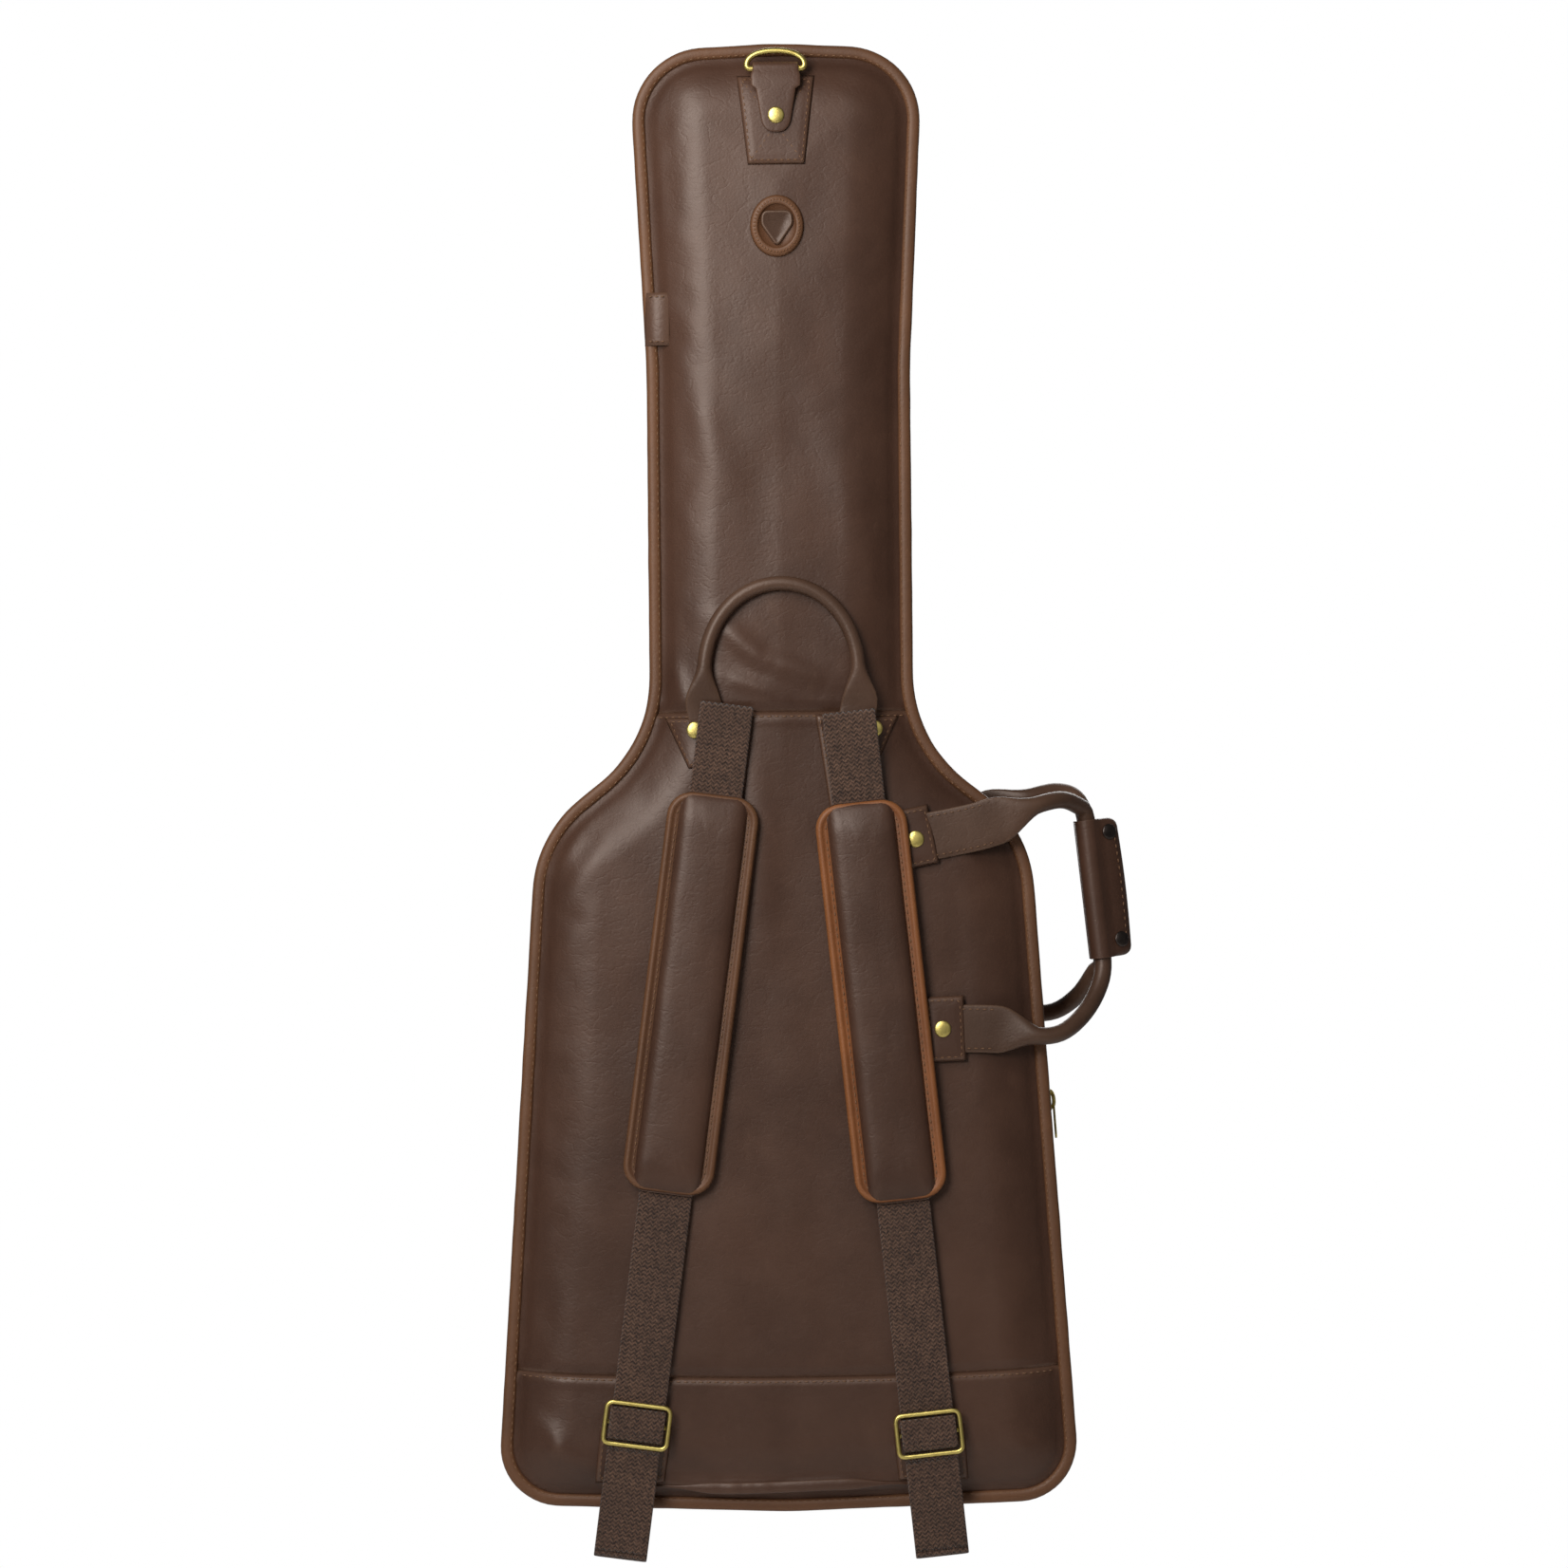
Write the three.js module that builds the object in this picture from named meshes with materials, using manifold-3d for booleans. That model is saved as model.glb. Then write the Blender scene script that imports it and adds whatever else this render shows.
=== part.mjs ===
// Padded electric-guitar gig bag in leather, hanging upright from its ring.
// Millimetres, +Z up, neck end up, strap side (back) facing -Y, accessory pocket facing +Y.
// Bag coordinates: X = 0 on the centreline, Y = 0 on the main zip, Z = 0 at the top edge.
import * as THREE from 'three';
import { mergeVertices } from 'three/addons/utils/BufferGeometryUtils.js';
import Module from 'manifold-3d';

const wasm = await Module();
wasm.setup();

// ---- driving dimensions -------------------------------------------------------------------
const gap = 0.3; // clearance between pieces that touch
const bagLength = 1050;
const headHalf = 103; // half width that the head's sides aim at on the top edge
const neckHalf = 92;
const shoulderHalf = 175;
const bottomHalf = 207;
const headTaperZ = -230; // where the head's taper reaches the neck width
const neckEndZ = -500; // corner between neck and shoulder
const shoulderZ = -566; // corner between shoulder and side
const topBow = 5; // how far the top edge arches
const bottomBow = 7; // how far the bottom edge bows
const cornerR = { head: 50, taper: 260, neck: 100, shoulder: 88, bottom: 40, bow: 300 };

const sideDepth = 25; // half depth of the side wall
const domeHeight = 20; // how far the padded panels stand over the side wall
const domeInset = 45; // width of the rounded rim of a panel
const leather = 2;
const foam = 10;
const lining = 1.5;
const bindingWidth = 8;
const bindingProud = 2.5;
const bindingDepth = 6;
const zipHalf = 6.7; // half width of the zip with its tapes
const zipGap = 0.4;
const tapeInset = 0.6; // how far the zip's tapes sit behind the side wall's face
const tapeThickness = 1.8;

const yokeZ = -478; // seam between neck panel and body panel
const bottomSeamZ = -bagLength + 99; // seam between body panel and bottom panel

const rivetR = 6;
const rivetHeight = 2;

const ring = { width: 46, wire: 2.2, barZ: -17, topZ: -2, y: -44, topR: 9.5, barR: 3 };
const keeper = { width: 36, thickness: 2, tongueZ: -62, bendZ: -29, tail: 2.5, rivetZ: -51 };
const ringPatch = { topZ: -23, bottomZ: -84, topHalf: 28, bottomHalf: 20 };
const badge = { z: -130, width: 38, height: 44, thickness: 3, rim: 0.6, faceScale: 0.9 };

const topHandle = { halfSpan: 56, footZ: -463, apexZ: -386, radius: 5 };
const topPatch = { x: 60, width: 52, topZ: -483, bottomZ: -528, rivetZ: -491, rivetX: 64 };

const padLength = 287;
const strap = {
  width: 38, thickness: 2, anchorLength: 64, padLength,
  lowerLength: bagLength - padLength - 577, // ends a little above the bag's lower edge
};
const strapSides = [
  { name: 'left', x: -39, topZ: -473, angle: 7.7 },
  { name: 'right', x: 48, topZ: -479, angle: -5.8 },
];
const pad = { width: 66, thickness: 11, cornerR: 24, lift: 6.5, edge: 3 };
const strapLift = 7; // webbing's clearance over the flat back
const buckle = { width: 49, height: 33, wire: 1.7, cornerR: 4, overhang: 2 };
const loopFold = { bottomZ: -bagLength - 33, halfGap: 4, underRim: 16 };
const anchor = { width: 50, topZ: -bagLength + 60, bottomZ: -bagLength + 21, thickness: 1.6 };

const grip = {
  radius: 6, strapWidth: 34, strapThickness: 2.4, strapLift: 1.6, // lift of the strap's middle
  wrapLength: 100, wrapWall: 2, flange: 15, snapR: 6, snapHeight: 3, snapMargin: 0.5,
  snaps: { upper: 8, lower: 90 }, // each snap's distance down the wrap
};
const gripStraps = {
  upper: { x: 95, z: -570, tilt: 10, inner: 15, outer: 60 },
  lower: { x: 113, z: -706, tilt: -1, inner: 13, outer: 48 },
};

const slider = { z: -760, width: 13, length: 17, thickness: 4 };
const pull = { width: 9, length: 32, thickness: 1.8, overlap: 4 }; // overlap onto the slider

const zipTab = { width: 14, length: 38, inset: 4, z: -195, lift: 1.5 };

const pocket = {
  halfWidth: 130, topZ: -740, bottomZ: -992, depth: 22, wall: 2.5, cornerR: 30, edge: 7, rim: 2,
};
const pocketZip = { halfLength: 105, width: 13, thickness: 1.2, sliderWidth: 10, pullWidth: 8 };
const neckRest = { halfWidth: 48, z: -262, halfHeight: 34, thickness: 24, cornerR: 10, edge: 8 };

// ---- materials ----------------------------------------------------------------------------
const finish = (color, roughness, metalness) => ({ color, roughness, metalness });
const finishes = {
  panel: finish(0x4a3428, 0.55, 0),
  trim: finish(0x6b4a31, 0.6, 0),
  handle: finish(0x402c22, 0.5, 0),
  webbing: finish(0x5f4a40, 0.9, 0),
  padding: finish(0x3c3c3e, 0.95, 0),
  cloth: finish(0x2a2523, 0.95, 0),
  brass: finish(0xbfae5a, 0.3, 1),
  snap: finish(0x3a3230, 0.4, 1),
  tape: finish(0x241f1c, 0.9, 0),
};

const bag = new THREE.Group();

function place(name, look, geometry, parent = bag) {
  const mesh = new THREE.Mesh(geometry, new THREE.MeshStandardMaterial(finishes[look]));
  mesh.name = name;
  parent.add(mesh);
  return mesh;
}

// ---- solids -------------------------------------------------------------------------------
function signedVolume(points, faces) {
  let total = 0;
  for (const [a, b, c] of faces) total += points[a].dot(points[b].clone().cross(points[c]));
  return total / 6;
}

function solid(points, faces) {
  const turned = signedVolume(points, faces) < 0 ? faces.map(([a, b, c]) => [a, c, b]) : faces;
  const geometry = new THREE.BufferGeometry();
  geometry.setAttribute('position', new THREE.Float32BufferAttribute(
    points.flatMap((p) => [p.x, p.y, p.z]), 3));
  geometry.setIndex(turned.flat());
  return geometry;
}

// The two axes in which a flat ring of points is widest, for triangulating its cap.
function flatten(ringPoints) {
  const size = new THREE.Box3().setFromPoints(ringPoints).getSize(new THREE.Vector3());
  const drop = ['x', 'y', 'z'].sort((a, b) => size[a] - size[b])[0];
  const [u, v] = ['x', 'y', 'z'].filter((axis) => axis !== drop);
  return ringPoints.map((p) => new THREE.Vector2(p[u], p[v]));
}

// Skins rings of equal length, one after the other; ends are capped unless the loft closes.
function loft(rings, closes = false) {
  const count = rings[0].length;
  const points = rings.flat();
  const faces = [];
  const spans = closes ? rings.length : rings.length - 1;
  for (let i = 0; i < spans; i += 1) {
    const next = ((i + 1) % rings.length) * count;
    for (let j = 0; j < count; j += 1) {
      const k = (j + 1) % count;
      faces.push([i * count + j, i * count + k, next + k]);
      faces.push([i * count + j, next + k, next + j]);
    }
  }
  if (!closes) {
    const last = (rings.length - 1) * count;
    for (const [a, b, c] of THREE.ShapeUtils.triangulateShape(flatten(rings[0]), [])) {
      faces.push(turnsWith(rings[0], a, b, c) ? [a, c, b] : [a, b, c]);
    }
    for (const [a, b, c] of THREE.ShapeUtils.triangulateShape(flatten(rings.at(-1)), [])) {
      const same = turnsWith(rings.at(-1), a, b, c);
      faces.push(same ? [last + a, last + b, last + c] : [last + a, last + c, last + b]);
    }
  }
  return solid(points, faces);
}

// Whether triangle a, b, c turns the way its ring does, by their area vectors.
function turnsWith(ringPoints, a, b, c) {
  const area = new THREE.Vector3();
  const side = new THREE.Vector3();
  ringPoints.forEach((p, i) => {
    area.add(side.crossVectors(p, ringPoints[(i + 1) % ringPoints.length]));
  });
  const ab = ringPoints[b].clone().sub(ringPoints[a]);
  const ac = ringPoints[c].clone().sub(ringPoints[a]);
  return ab.cross(ac).dot(area) > 0;
}

function toManifold(geometry) {
  const plain = geometry.clone();
  plain.deleteAttribute('normal');
  plain.deleteAttribute('uv');
  const merged = mergeVertices(plain);
  return new wasm.Manifold(new wasm.Mesh({
    numProp: 3,
    vertProperties: new Float32Array(merged.attributes.position.array),
    triVerts: new Uint32Array(merged.index.array),
  }));
}

function fromManifold(body) {
  const mesh = body.getMesh();
  const geometry = new THREE.BufferGeometry();
  geometry.setAttribute('position', new THREE.BufferAttribute(mesh.vertProperties, 3));
  geometry.setIndex(new THREE.BufferAttribute(mesh.triVerts, 1));
  return geometry;
}

const join = (...parts) => fromManifold(parts.map(toManifold).reduce((a, b) => a.add(b)));

// The part of a solid between two heights.
function slab(geometry, lowZ, highZ) {
  const reach = 4 * bagLength;
  const box = new THREE.BoxGeometry(reach, reach, highZ - lowZ);
  box.translate(0, 0, (highZ + lowZ) / 2);
  return fromManifold(toManifold(geometry).intersect(toManifold(box)));
}

// The same solid on the other side of the zip.
function mirrored(geometry) {
  const flat = mergeVertices(geometry.clone().deleteAttribute('normal').deleteAttribute('uv'));
  const position = flat.attributes.position;
  const points = [];
  for (let i = 0; i < position.count; i += 1) {
    points.push(new THREE.Vector3(position.getX(i), -position.getY(i), position.getZ(i)));
  }
  const faces = [];
  for (let i = 0; i < flat.index.count; i += 3) faces.push([0, 1, 2].map((j) => flat.index.getX(i + j)));
  return solid(points, faces);
}

// ---- the bag's outline --------------------------------------------------------------------
// Corners of a half outline, from the top centre down the +X side, each with its radius.
const halfCorners = [
  { x: headHalf, z: -topBow, r: cornerR.head, steps: 5 },
  { x: neckHalf, z: headTaperZ, r: cornerR.taper, steps: 1 },
  { x: neckHalf, z: neckEndZ, r: cornerR.neck, steps: 5 },
  { x: shoulderHalf, z: shoulderZ, r: cornerR.shoulder, steps: 4 },
  { x: bottomHalf, z: -bagLength + bottomBow, r: cornerR.bottom, steps: 5 },
];
const bagCorners = [
  { x: 0, z: 0, r: cornerR.bow, steps: 1 },
  ...halfCorners,
  { x: 0, z: -bagLength, r: cornerR.bow, steps: 1 },
  ...[...halfCorners].reverse().map((c) => ({ ...c, x: -c.x })),
];

const meet = (p, u, q, v) => {
  const t = ((q.x - p.x) * v.y - (q.y - p.y) * v.x) / (u.x * v.y - u.y * v.x);
  return p.clone().addScaledVector(u, t);
};

// A clockwise polygon's edges moved inwards, its corners rounded; the same number of points
// for every inset, so nested outlines match point by point.
function roundedLoop(corners, inset = 0) {
  const at = (i) => corners[(i + corners.length) % corners.length];
  const edge = (i) => {
    const a = new THREE.Vector2(at(i).x, at(i).z);
    const along = new THREE.Vector2(at(i + 1).x, at(i + 1).z).sub(a).normalize();
    return { from: a.addScaledVector(new THREE.Vector2(along.y, -along.x), inset), along };
  };
  return corners.flatMap((corner, i) => {
    const before = edge(i - 1);
    const after = edge(i);
    const tip = meet(before.from, before.along, after.from, after.along);
    const turn = Math.atan2(before.along.cross(after.along), before.along.dot(after.along));
    const radius = Math.max(corner.r + Math.sign(turn) * inset, 1);
    const reach = radius * Math.tan(Math.abs(turn) / 2);
    const start = tip.clone().addScaledVector(before.along, -reach);
    const inward = new THREE.Vector2(-before.along.y, before.along.x).multiplyScalar(Math.sign(turn));
    const centre = start.clone().addScaledVector(inward, radius);
    return Array.from({ length: corner.steps + 1 }, (_, k) => (
      start.clone().rotateAround(centre, (turn * k) / corner.steps)));
  });
}

const outlineCache = new Map();
function bagOutline(inset) {
  if (!outlineCache.has(inset)) outlineCache.set(inset, roundedLoop(bagCorners, inset));
  return outlineCache.get(inset);
}
const ringAt = (inset, y) => bagOutline(inset).map((p) => new THREE.Vector3(p.x, y, p.y));

// First outline point of each corner, in the order of bagCorners.
const cornerStart = [];
bagCorners.reduce((sum, corner) => {
  cornerStart.push(sum);
  return sum + corner.steps + 1;
}, 0);
const spineFrom = cornerStart[8] - 1; // end of the lower -X corner
const spineTo = cornerStart[8]; // start of the -X shoulder
const outlineCount = bagOutline(0).length;

// ---- the padded halves (built for the back; the front is their mirror image) ---------------
const domeMiddle = 0.6 * domeInset;
const rimInsets = [bindingWidth + gap, 0.36 * domeInset, domeMiddle, domeInset];
const domeAt = (inset) => domeHeight * Math.sin((Math.PI / 2) * Math.min(1, inset / domeInset));

// Height of the panel's outside over the zip plane: straight between the rim's rings.
function panelHeight(inset) {
  const stops = [0, ...rimInsets];
  const i = Math.max(1, stops.findIndex((stop) => stop >= inset));
  if (inset >= domeInset) return sideDepth + domeHeight;
  const share = (inset - stops[i - 1]) / (stops[i] - stops[i - 1]);
  return sideDepth + THREE.MathUtils.lerp(domeAt(stops[i - 1]), domeAt(stops[i]), share);
}

function insetOf(x, z) {
  const points = bagOutline(0);
  const here = new THREE.Vector3(x, z, 0);
  const line = new THREE.Line3();
  const nearest = new THREE.Vector3();
  return Math.min(...points.map((p, i) => {
    const q = points[(i + 1) % points.length];
    line.start.set(p.x, p.y, 0);
    line.end.set(q.x, q.y, 0);
    return line.closestPointToPoint(here, true, nearest).distanceTo(here);
  }));
}
const backY = (x, z) => -panelHeight(insetOf(x, z));
const backFlat = -(sideDepth + domeHeight); // the flat middle of the back
const patchLift = 1.6; // clearance of a patch that lies over the rounded rim

// A shell that follows the panel's dome at a depth under its outside.
function dishRings(depth, insets) {
  return insets.map((inset) => ringAt(inset, -panelHeight(inset) + depth));
}

function panelSkin() {
  return loft([...dishRings(0, [...rimInsets].reverse()), ...dishRings(leather, rimInsets)]);
}

const foamEdge = leather + 2 * gap + 0.4; // foam wall's inset behind the side wall
const foamDepth = leather + gap;
const liningDepth = foamDepth + foam + gap;
const wallEnd = -zipGap - 0.2;

function foamShell() {
  const shelf = bindingWidth + 2 * gap;
  const outer = dishRings(foamDepth, [domeInset, domeMiddle, shelf]);
  const step = [ringAt(shelf, -sideDepth + gap), ringAt(foamEdge, -sideDepth + gap)];
  const inside = foamEdge + foam;
  return loft([
    ...outer, ...step, ringAt(foamEdge, wallEnd), ringAt(inside, wallEnd),
    ...dishRings(foamDepth + foam, [inside, domeMiddle, domeInset]),
  ]);
}

function liningShell() {
  const outside = foamEdge + foam + gap;
  const inside = outside + lining;
  return loft([
    ...dishRings(liningDepth, [domeInset, domeMiddle, outside]), ringAt(outside, wallEnd),
    ringAt(inside, wallEnd), ...dishRings(liningDepth + lining, [inside, domeMiddle, domeInset]),
  ]);
}

// A strip that runs along the outline between two insets and two depths.
function band(outer, inner, lowY, highY, from = 0, to = outlineCount - 1) {
  const section = (i) => {
    const a = bagOutline(outer)[i % outlineCount];
    const b = bagOutline(inner)[i % outlineCount];
    return [[a, lowY], [b, lowY], [b, highY], [a, highY]]
      .map(([p, y]) => new THREE.Vector3(p.x, y, p.y));
  };
  const closes = from === 0 && to === outlineCount - 1;
  return loft(Array.from({ length: to - from + 1 }, (_, i) => section(from + i)), closes);
}

const edgeBinding = () => band(-bindingProud, bindingWidth, -sideDepth - bindingDepth, -sideDepth);
const sideWall = () => band(0, leather, -sideDepth + gap, -zipHalf - gap);
const tapeBand = (from, to) => (
  band(tapeInset, tapeInset + tapeThickness, -zipHalf, -zipGap, from, to));
const zipTape = () => tapeBand(spineTo, spineFrom + outlineCount);
const spine = () => tapeBand(spineFrom, spineTo);

function buildHalves() {
  const skin = panelSkin();
  place('back_neck_panel', 'panel', slab(skin, yokeZ + gap / 2, bagLength));
  place('back_body_panel', 'panel', slab(skin, bottomSeamZ + gap / 2, yokeZ - gap / 2));
  place('back_bottom_panel', 'panel', slab(skin, -2 * bagLength, bottomSeamZ - gap / 2));
  place('front_panel', 'panel', mirrored(skin));
  const layers = [
    ['foam', 'padding', foamShell()],
    ['lining', 'cloth', liningShell()],
    ['binding', 'trim', edgeBinding()],
    ['side_wall', 'panel', sideWall()],
    ['zip_tape', 'tape', zipTape()],
  ];
  for (const [name, look, geometry] of layers) {
    place(`back_${name}`, look, geometry);
    place(`front_${name}`, look, mirrored(geometry));
  }
  place('spine_strip', 'panel', spine());
}

// ---- small pieces -------------------------------------------------------------------------
// A leather patch that lies on the back panel: straight sides between two heights.
function backPatch(topZ, bottomZ, topX, bottomX, lift, thickness, rows = 4, columns = 4) {
  const rings = Array.from({ length: rows + 1 }, (_, r) => {
    const t = r / rows;
    const z = THREE.MathUtils.lerp(topZ, bottomZ, t);
    const left = THREE.MathUtils.lerp(topX[0], bottomX[0], t);
    const right = THREE.MathUtils.lerp(topX[1], bottomX[1], t);
    const across = (c, depth) => {
      const x = THREE.MathUtils.lerp(left, right, c / columns);
      return new THREE.Vector3(x, backY(x, z) - depth, z);
    };
    const under = Array.from({ length: columns + 1 }, (_, c) => across(c, lift));
    const over = Array.from({ length: columns + 1 }, (_, c) => across(columns - c, lift + thickness));
    return [...under, ...over];
  });
  return loft(rings);
}

// A strip of even thickness bent along [Y, Z] points, with its width along X.
function bentStrip(points, thickness, width) {
  const path = points.map(([y, z]) => new THREE.Vector2(y, z));
  const side = (sign) => path.map((p, i) => {
    const before = path[Math.max(0, i - 1)];
    const after = path[Math.min(path.length - 1, i + 1)];
    const along = after.clone().sub(before).normalize();
    return p.clone().addScaledVector(new THREE.Vector2(-along.y, along.x), (sign * thickness) / 2);
  });
  const section = [...side(1), ...side(-1).reverse()];
  return loft([-width / 2, width / 2].map((x) => (
    section.map((p) => new THREE.Vector3(x, p.x, p.y)))));
}

// A round wire along a closed flat loop of points in X and Z, mitred at each point.
function wireLoop(points, radius, sides = 8) {
  const rings = points.map((p, i) => {
    const before = p.clone().sub(points[(i - 1 + points.length) % points.length]).normalize();
    const after = points[(i + 1) % points.length].clone().sub(p).normalize();
    const across = new THREE.Vector2(-before.y - after.y, before.x + after.x).normalize();
    const mitre = radius / across.dot(new THREE.Vector2(-after.y, after.x));
    return Array.from({ length: sides }, (_, k) => {
      const turn = (2 * Math.PI * k) / sides;
      const at = p.clone().addScaledVector(across, mitre * Math.cos(turn));
      return new THREE.Vector3(at.x, radius * Math.sin(turn), at.y);
    });
  });
  return loft(rings, true);
}

// A round-ended or rounded box shape in X and Z, as corners for roundedLoop.
const boxCorners = (halfWidth, topZ, bottomZ, r, steps = 4) => [
  { x: -halfWidth, z: topZ, r, steps },
  { x: halfWidth, z: topZ, r, steps },
  { x: halfWidth, z: bottomZ, r, steps },
  { x: -halfWidth, z: bottomZ, r, steps },
];

const loopRing = (corners, inset, y) => (
  roundedLoop(corners, inset).map((p) => new THREE.Vector3(p.x, y, p.y)));

// A plate with a rounded edge on its -Y side.
function cushionPlate(corners, backFace, thickness, edge) {
  return loft([
    loopRing(corners, 0, backFace), loopRing(corners, 0, backFace - thickness + edge),
    loopRing(corners, edge, backFace - thickness),
  ]);
}

function tube(points, radius, steps, sides = 8) {
  const section = new THREE.Shape(Array.from({ length: sides }, (_, i) => {
    const turn = (2 * Math.PI * i) / sides;
    return new THREE.Vector2(radius * Math.cos(turn), radius * Math.sin(turn));
  }));
  const extrudePath = new THREE.CatmullRomCurve3(points.map((p) => new THREE.Vector3(...p)),
    false, 'centripetal');
  return new THREE.ExtrudeGeometry(section, { steps, extrudePath, bevelEnabled: false });
}

// A domed head that rises towards -Y from its flat side.
function domedHead(radius, height) {
  const around = (r, y) => Array.from({ length: 10 }, (_, i) => {
    const turn = (2 * Math.PI * i) / 10;
    return new THREE.Vector3(r * Math.cos(turn), -y, r * Math.sin(turn));
  });
  return loft([around(radius, 0), around(radius, height * 0.4), around(radius * 0.65, height)]);
}

function addRivet(name, x, faceY, z) {
  const mesh = place(name, 'brass', domedHead(rivetR, rivetHeight));
  mesh.position.set(x, faceY, z);
  return mesh;
}

// ---- hanging ring, its keeper and the badge -----------------------------------------------
function ringLoop() {
  const half = ring.width / 2 - ring.wire;
  const topZ = ring.topZ - ring.wire;
  return roundedLoop([
    { x: -half, z: topZ, r: ring.topR, steps: 4 },
    { x: half, z: topZ, r: ring.topR, steps: 4 },
    { x: half, z: ring.barZ, r: ring.barR, steps: 3 },
    { x: -half, z: ring.barZ, r: ring.barR, steps: 3 },
  ]);
}

function buildRing() {
  place('hang_ring', 'brass', wireLoop(ringLoop(), ring.wire)).position.y = ring.y;
  place('ring_patch', 'trim', backPatch(ringPatch.topZ, ringPatch.bottomZ,
    [-ringPatch.topHalf, ringPatch.topHalf], [-ringPatch.bottomHalf, ringPatch.bottomHalf],
    patchLift, leather, 6, 4));
  const face = backFlat - patchLift - leather - gap; // front of the patch
  const tongueY = face - keeper.thickness / 2;
  const around = ring.wire + gap + keeper.thickness / 2;
  const wrap = Array.from({ length: 7 }, (_, i) => {
    const turn = Math.PI - (Math.PI * i) / 6;
    return [ring.y + around * Math.cos(turn), ring.barZ + around * Math.sin(turn)];
  });
  place('ring_keeper', 'panel', bentStrip([
    [tongueY, keeper.tongueZ], [tongueY, keeper.bendZ], ...wrap,
    [ring.y + around, ring.barZ - keeper.tail],
  ], keeper.thickness, keeper.width));
  addRivet('ring_rivet', 0, tongueY - keeper.thickness / 2 - gap, keeper.rivetZ);
  const oval = new THREE.EllipseCurve(0, 0, badge.width / 2, badge.height / 2);
  const ovalPoints = oval.getPoints(24).slice(0, -1);
  const ovalRing = (scale, y) => ovalPoints.map((p) => (
    new THREE.Vector3(p.x * scale, y, badge.z + p.y * scale)));
  const base = backFlat - gap;
  place('badge', 'trim', loft([ovalRing(1, base), ovalRing(1, base - badge.thickness * badge.rim),
    ovalRing(badge.faceScale, base - badge.thickness)]));
}

// ---- carrying handle on the yoke seam -----------------------------------------------------
function buildTopHandle() {
  const { halfSpan, footZ, apexZ, radius } = topHandle;
  const y = backFlat - radius - 2 * gap;
  const rise = apexZ - footZ;
  const arch = Array.from({ length: 9 }, (_, i) => {
    const turn = Math.PI - (Math.PI * i) / 8;
    return [halfSpan * Math.cos(turn), y, footZ + rise * Math.sin(turn) ** 0.8];
  });
  place('top_handle', 'handle', tube(arch, radius, 16));
  for (const side of [-1, 1]) {
    const name = side < 0 ? 'left' : 'right';
    const middle = side * topPatch.x;
    const edges = [middle - topPatch.width / 2, middle + topPatch.width / 2];
    place(`top_handle_patch_${name}`, 'trim',
      backPatch(topPatch.topZ, topPatch.bottomZ, edges, edges, patchLift, leather, 3, 6));
    addRivet(`top_handle_rivet_${name}`, side * topPatch.rivetX, backFlat - patchLift - leather - gap,
      topPatch.rivetZ);
  }
}

// ---- shoulder straps ----------------------------------------------------------------------
// Each strap is built straight down from its top anchor and then leant outwards.
function buildStrap(spec) {
  const group = new THREE.Group();
  group.position.set(spec.x, 0, spec.topZ);
  group.rotation.y = THREE.MathUtils.degToRad(spec.angle);
  bag.add(group);
  const webY = backFlat - strapLift - strap.thickness / 2;
  const web = (from, length) => {
    const box = new THREE.BoxGeometry(strap.width, strap.thickness, length);
    return box.translate(0, webY, -from - length / 2);
  };
  const padTop = strap.anchorLength + gap;
  const padEnd = padTop + strap.padLength;
  place(`strap_webbing_upper_${spec.name}`, 'webbing', web(0, strap.anchorLength), group);
  place(`strap_pad_${spec.name}`, 'panel',
    cushionPlate(boxCorners(pad.width / 2, -padTop, -padEnd, pad.cornerR), backFlat - pad.lift,
      pad.thickness, pad.edge), group);
  place(`strap_webbing_lower_${spec.name}`, 'webbing', web(padEnd + gap, strap.lowerLength), group);
  const webEnd = padEnd + gap + strap.lowerLength;
  buildBuckle(spec, group, webY, webEnd);
  const anchorX = spec.x + (spec.topZ - anchor.topZ) * Math.tan(-group.rotation.y);
  const edges = [anchorX - anchor.width / 2, anchorX + anchor.width / 2];
  place(`strap_anchor_${spec.name}`, 'trim',
    backPatch(anchor.topZ, anchor.bottomZ, edges, edges, patchLift, anchor.thickness));
  place(`strap_loop_${spec.name}`, 'webbing', webbingLoop(spec, webY, webEnd, anchorX), group);
}

function buildBuckle(spec, group, webY, webEnd) {
  const { width, height, wire } = buckle;
  const centreZ = -webEnd + height / 2 + buckle.overhang;
  const frame = roundedLoop(boxCorners(width / 2 - wire, height / 2 - wire, -height / 2 + wire,
    buckle.cornerR, 3));
  const outline = wireLoop(frame, wire);
  const back = strap.thickness + 2 * wire + 2 * gap; // from the frame's plane to the bar's
  const bar = new THREE.CylinderGeometry(wire, wire, width - 2 * wire, 8).rotateZ(Math.PI / 2);
  bar.translate(0, back, 0);
  const posts = [-1, 1].map((side) => {
    const post = new THREE.CylinderGeometry(wire, wire, back, 8);
    return post.translate(side * (width / 2 - wire), back / 2, 0);
  });
  const mesh = place(`strap_buckle_${spec.name}`, 'brass', join(outline, bar, ...posts), group);
  mesh.position.set(0, webY - strap.thickness / 2 - gap - wire, centreZ);
}

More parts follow.
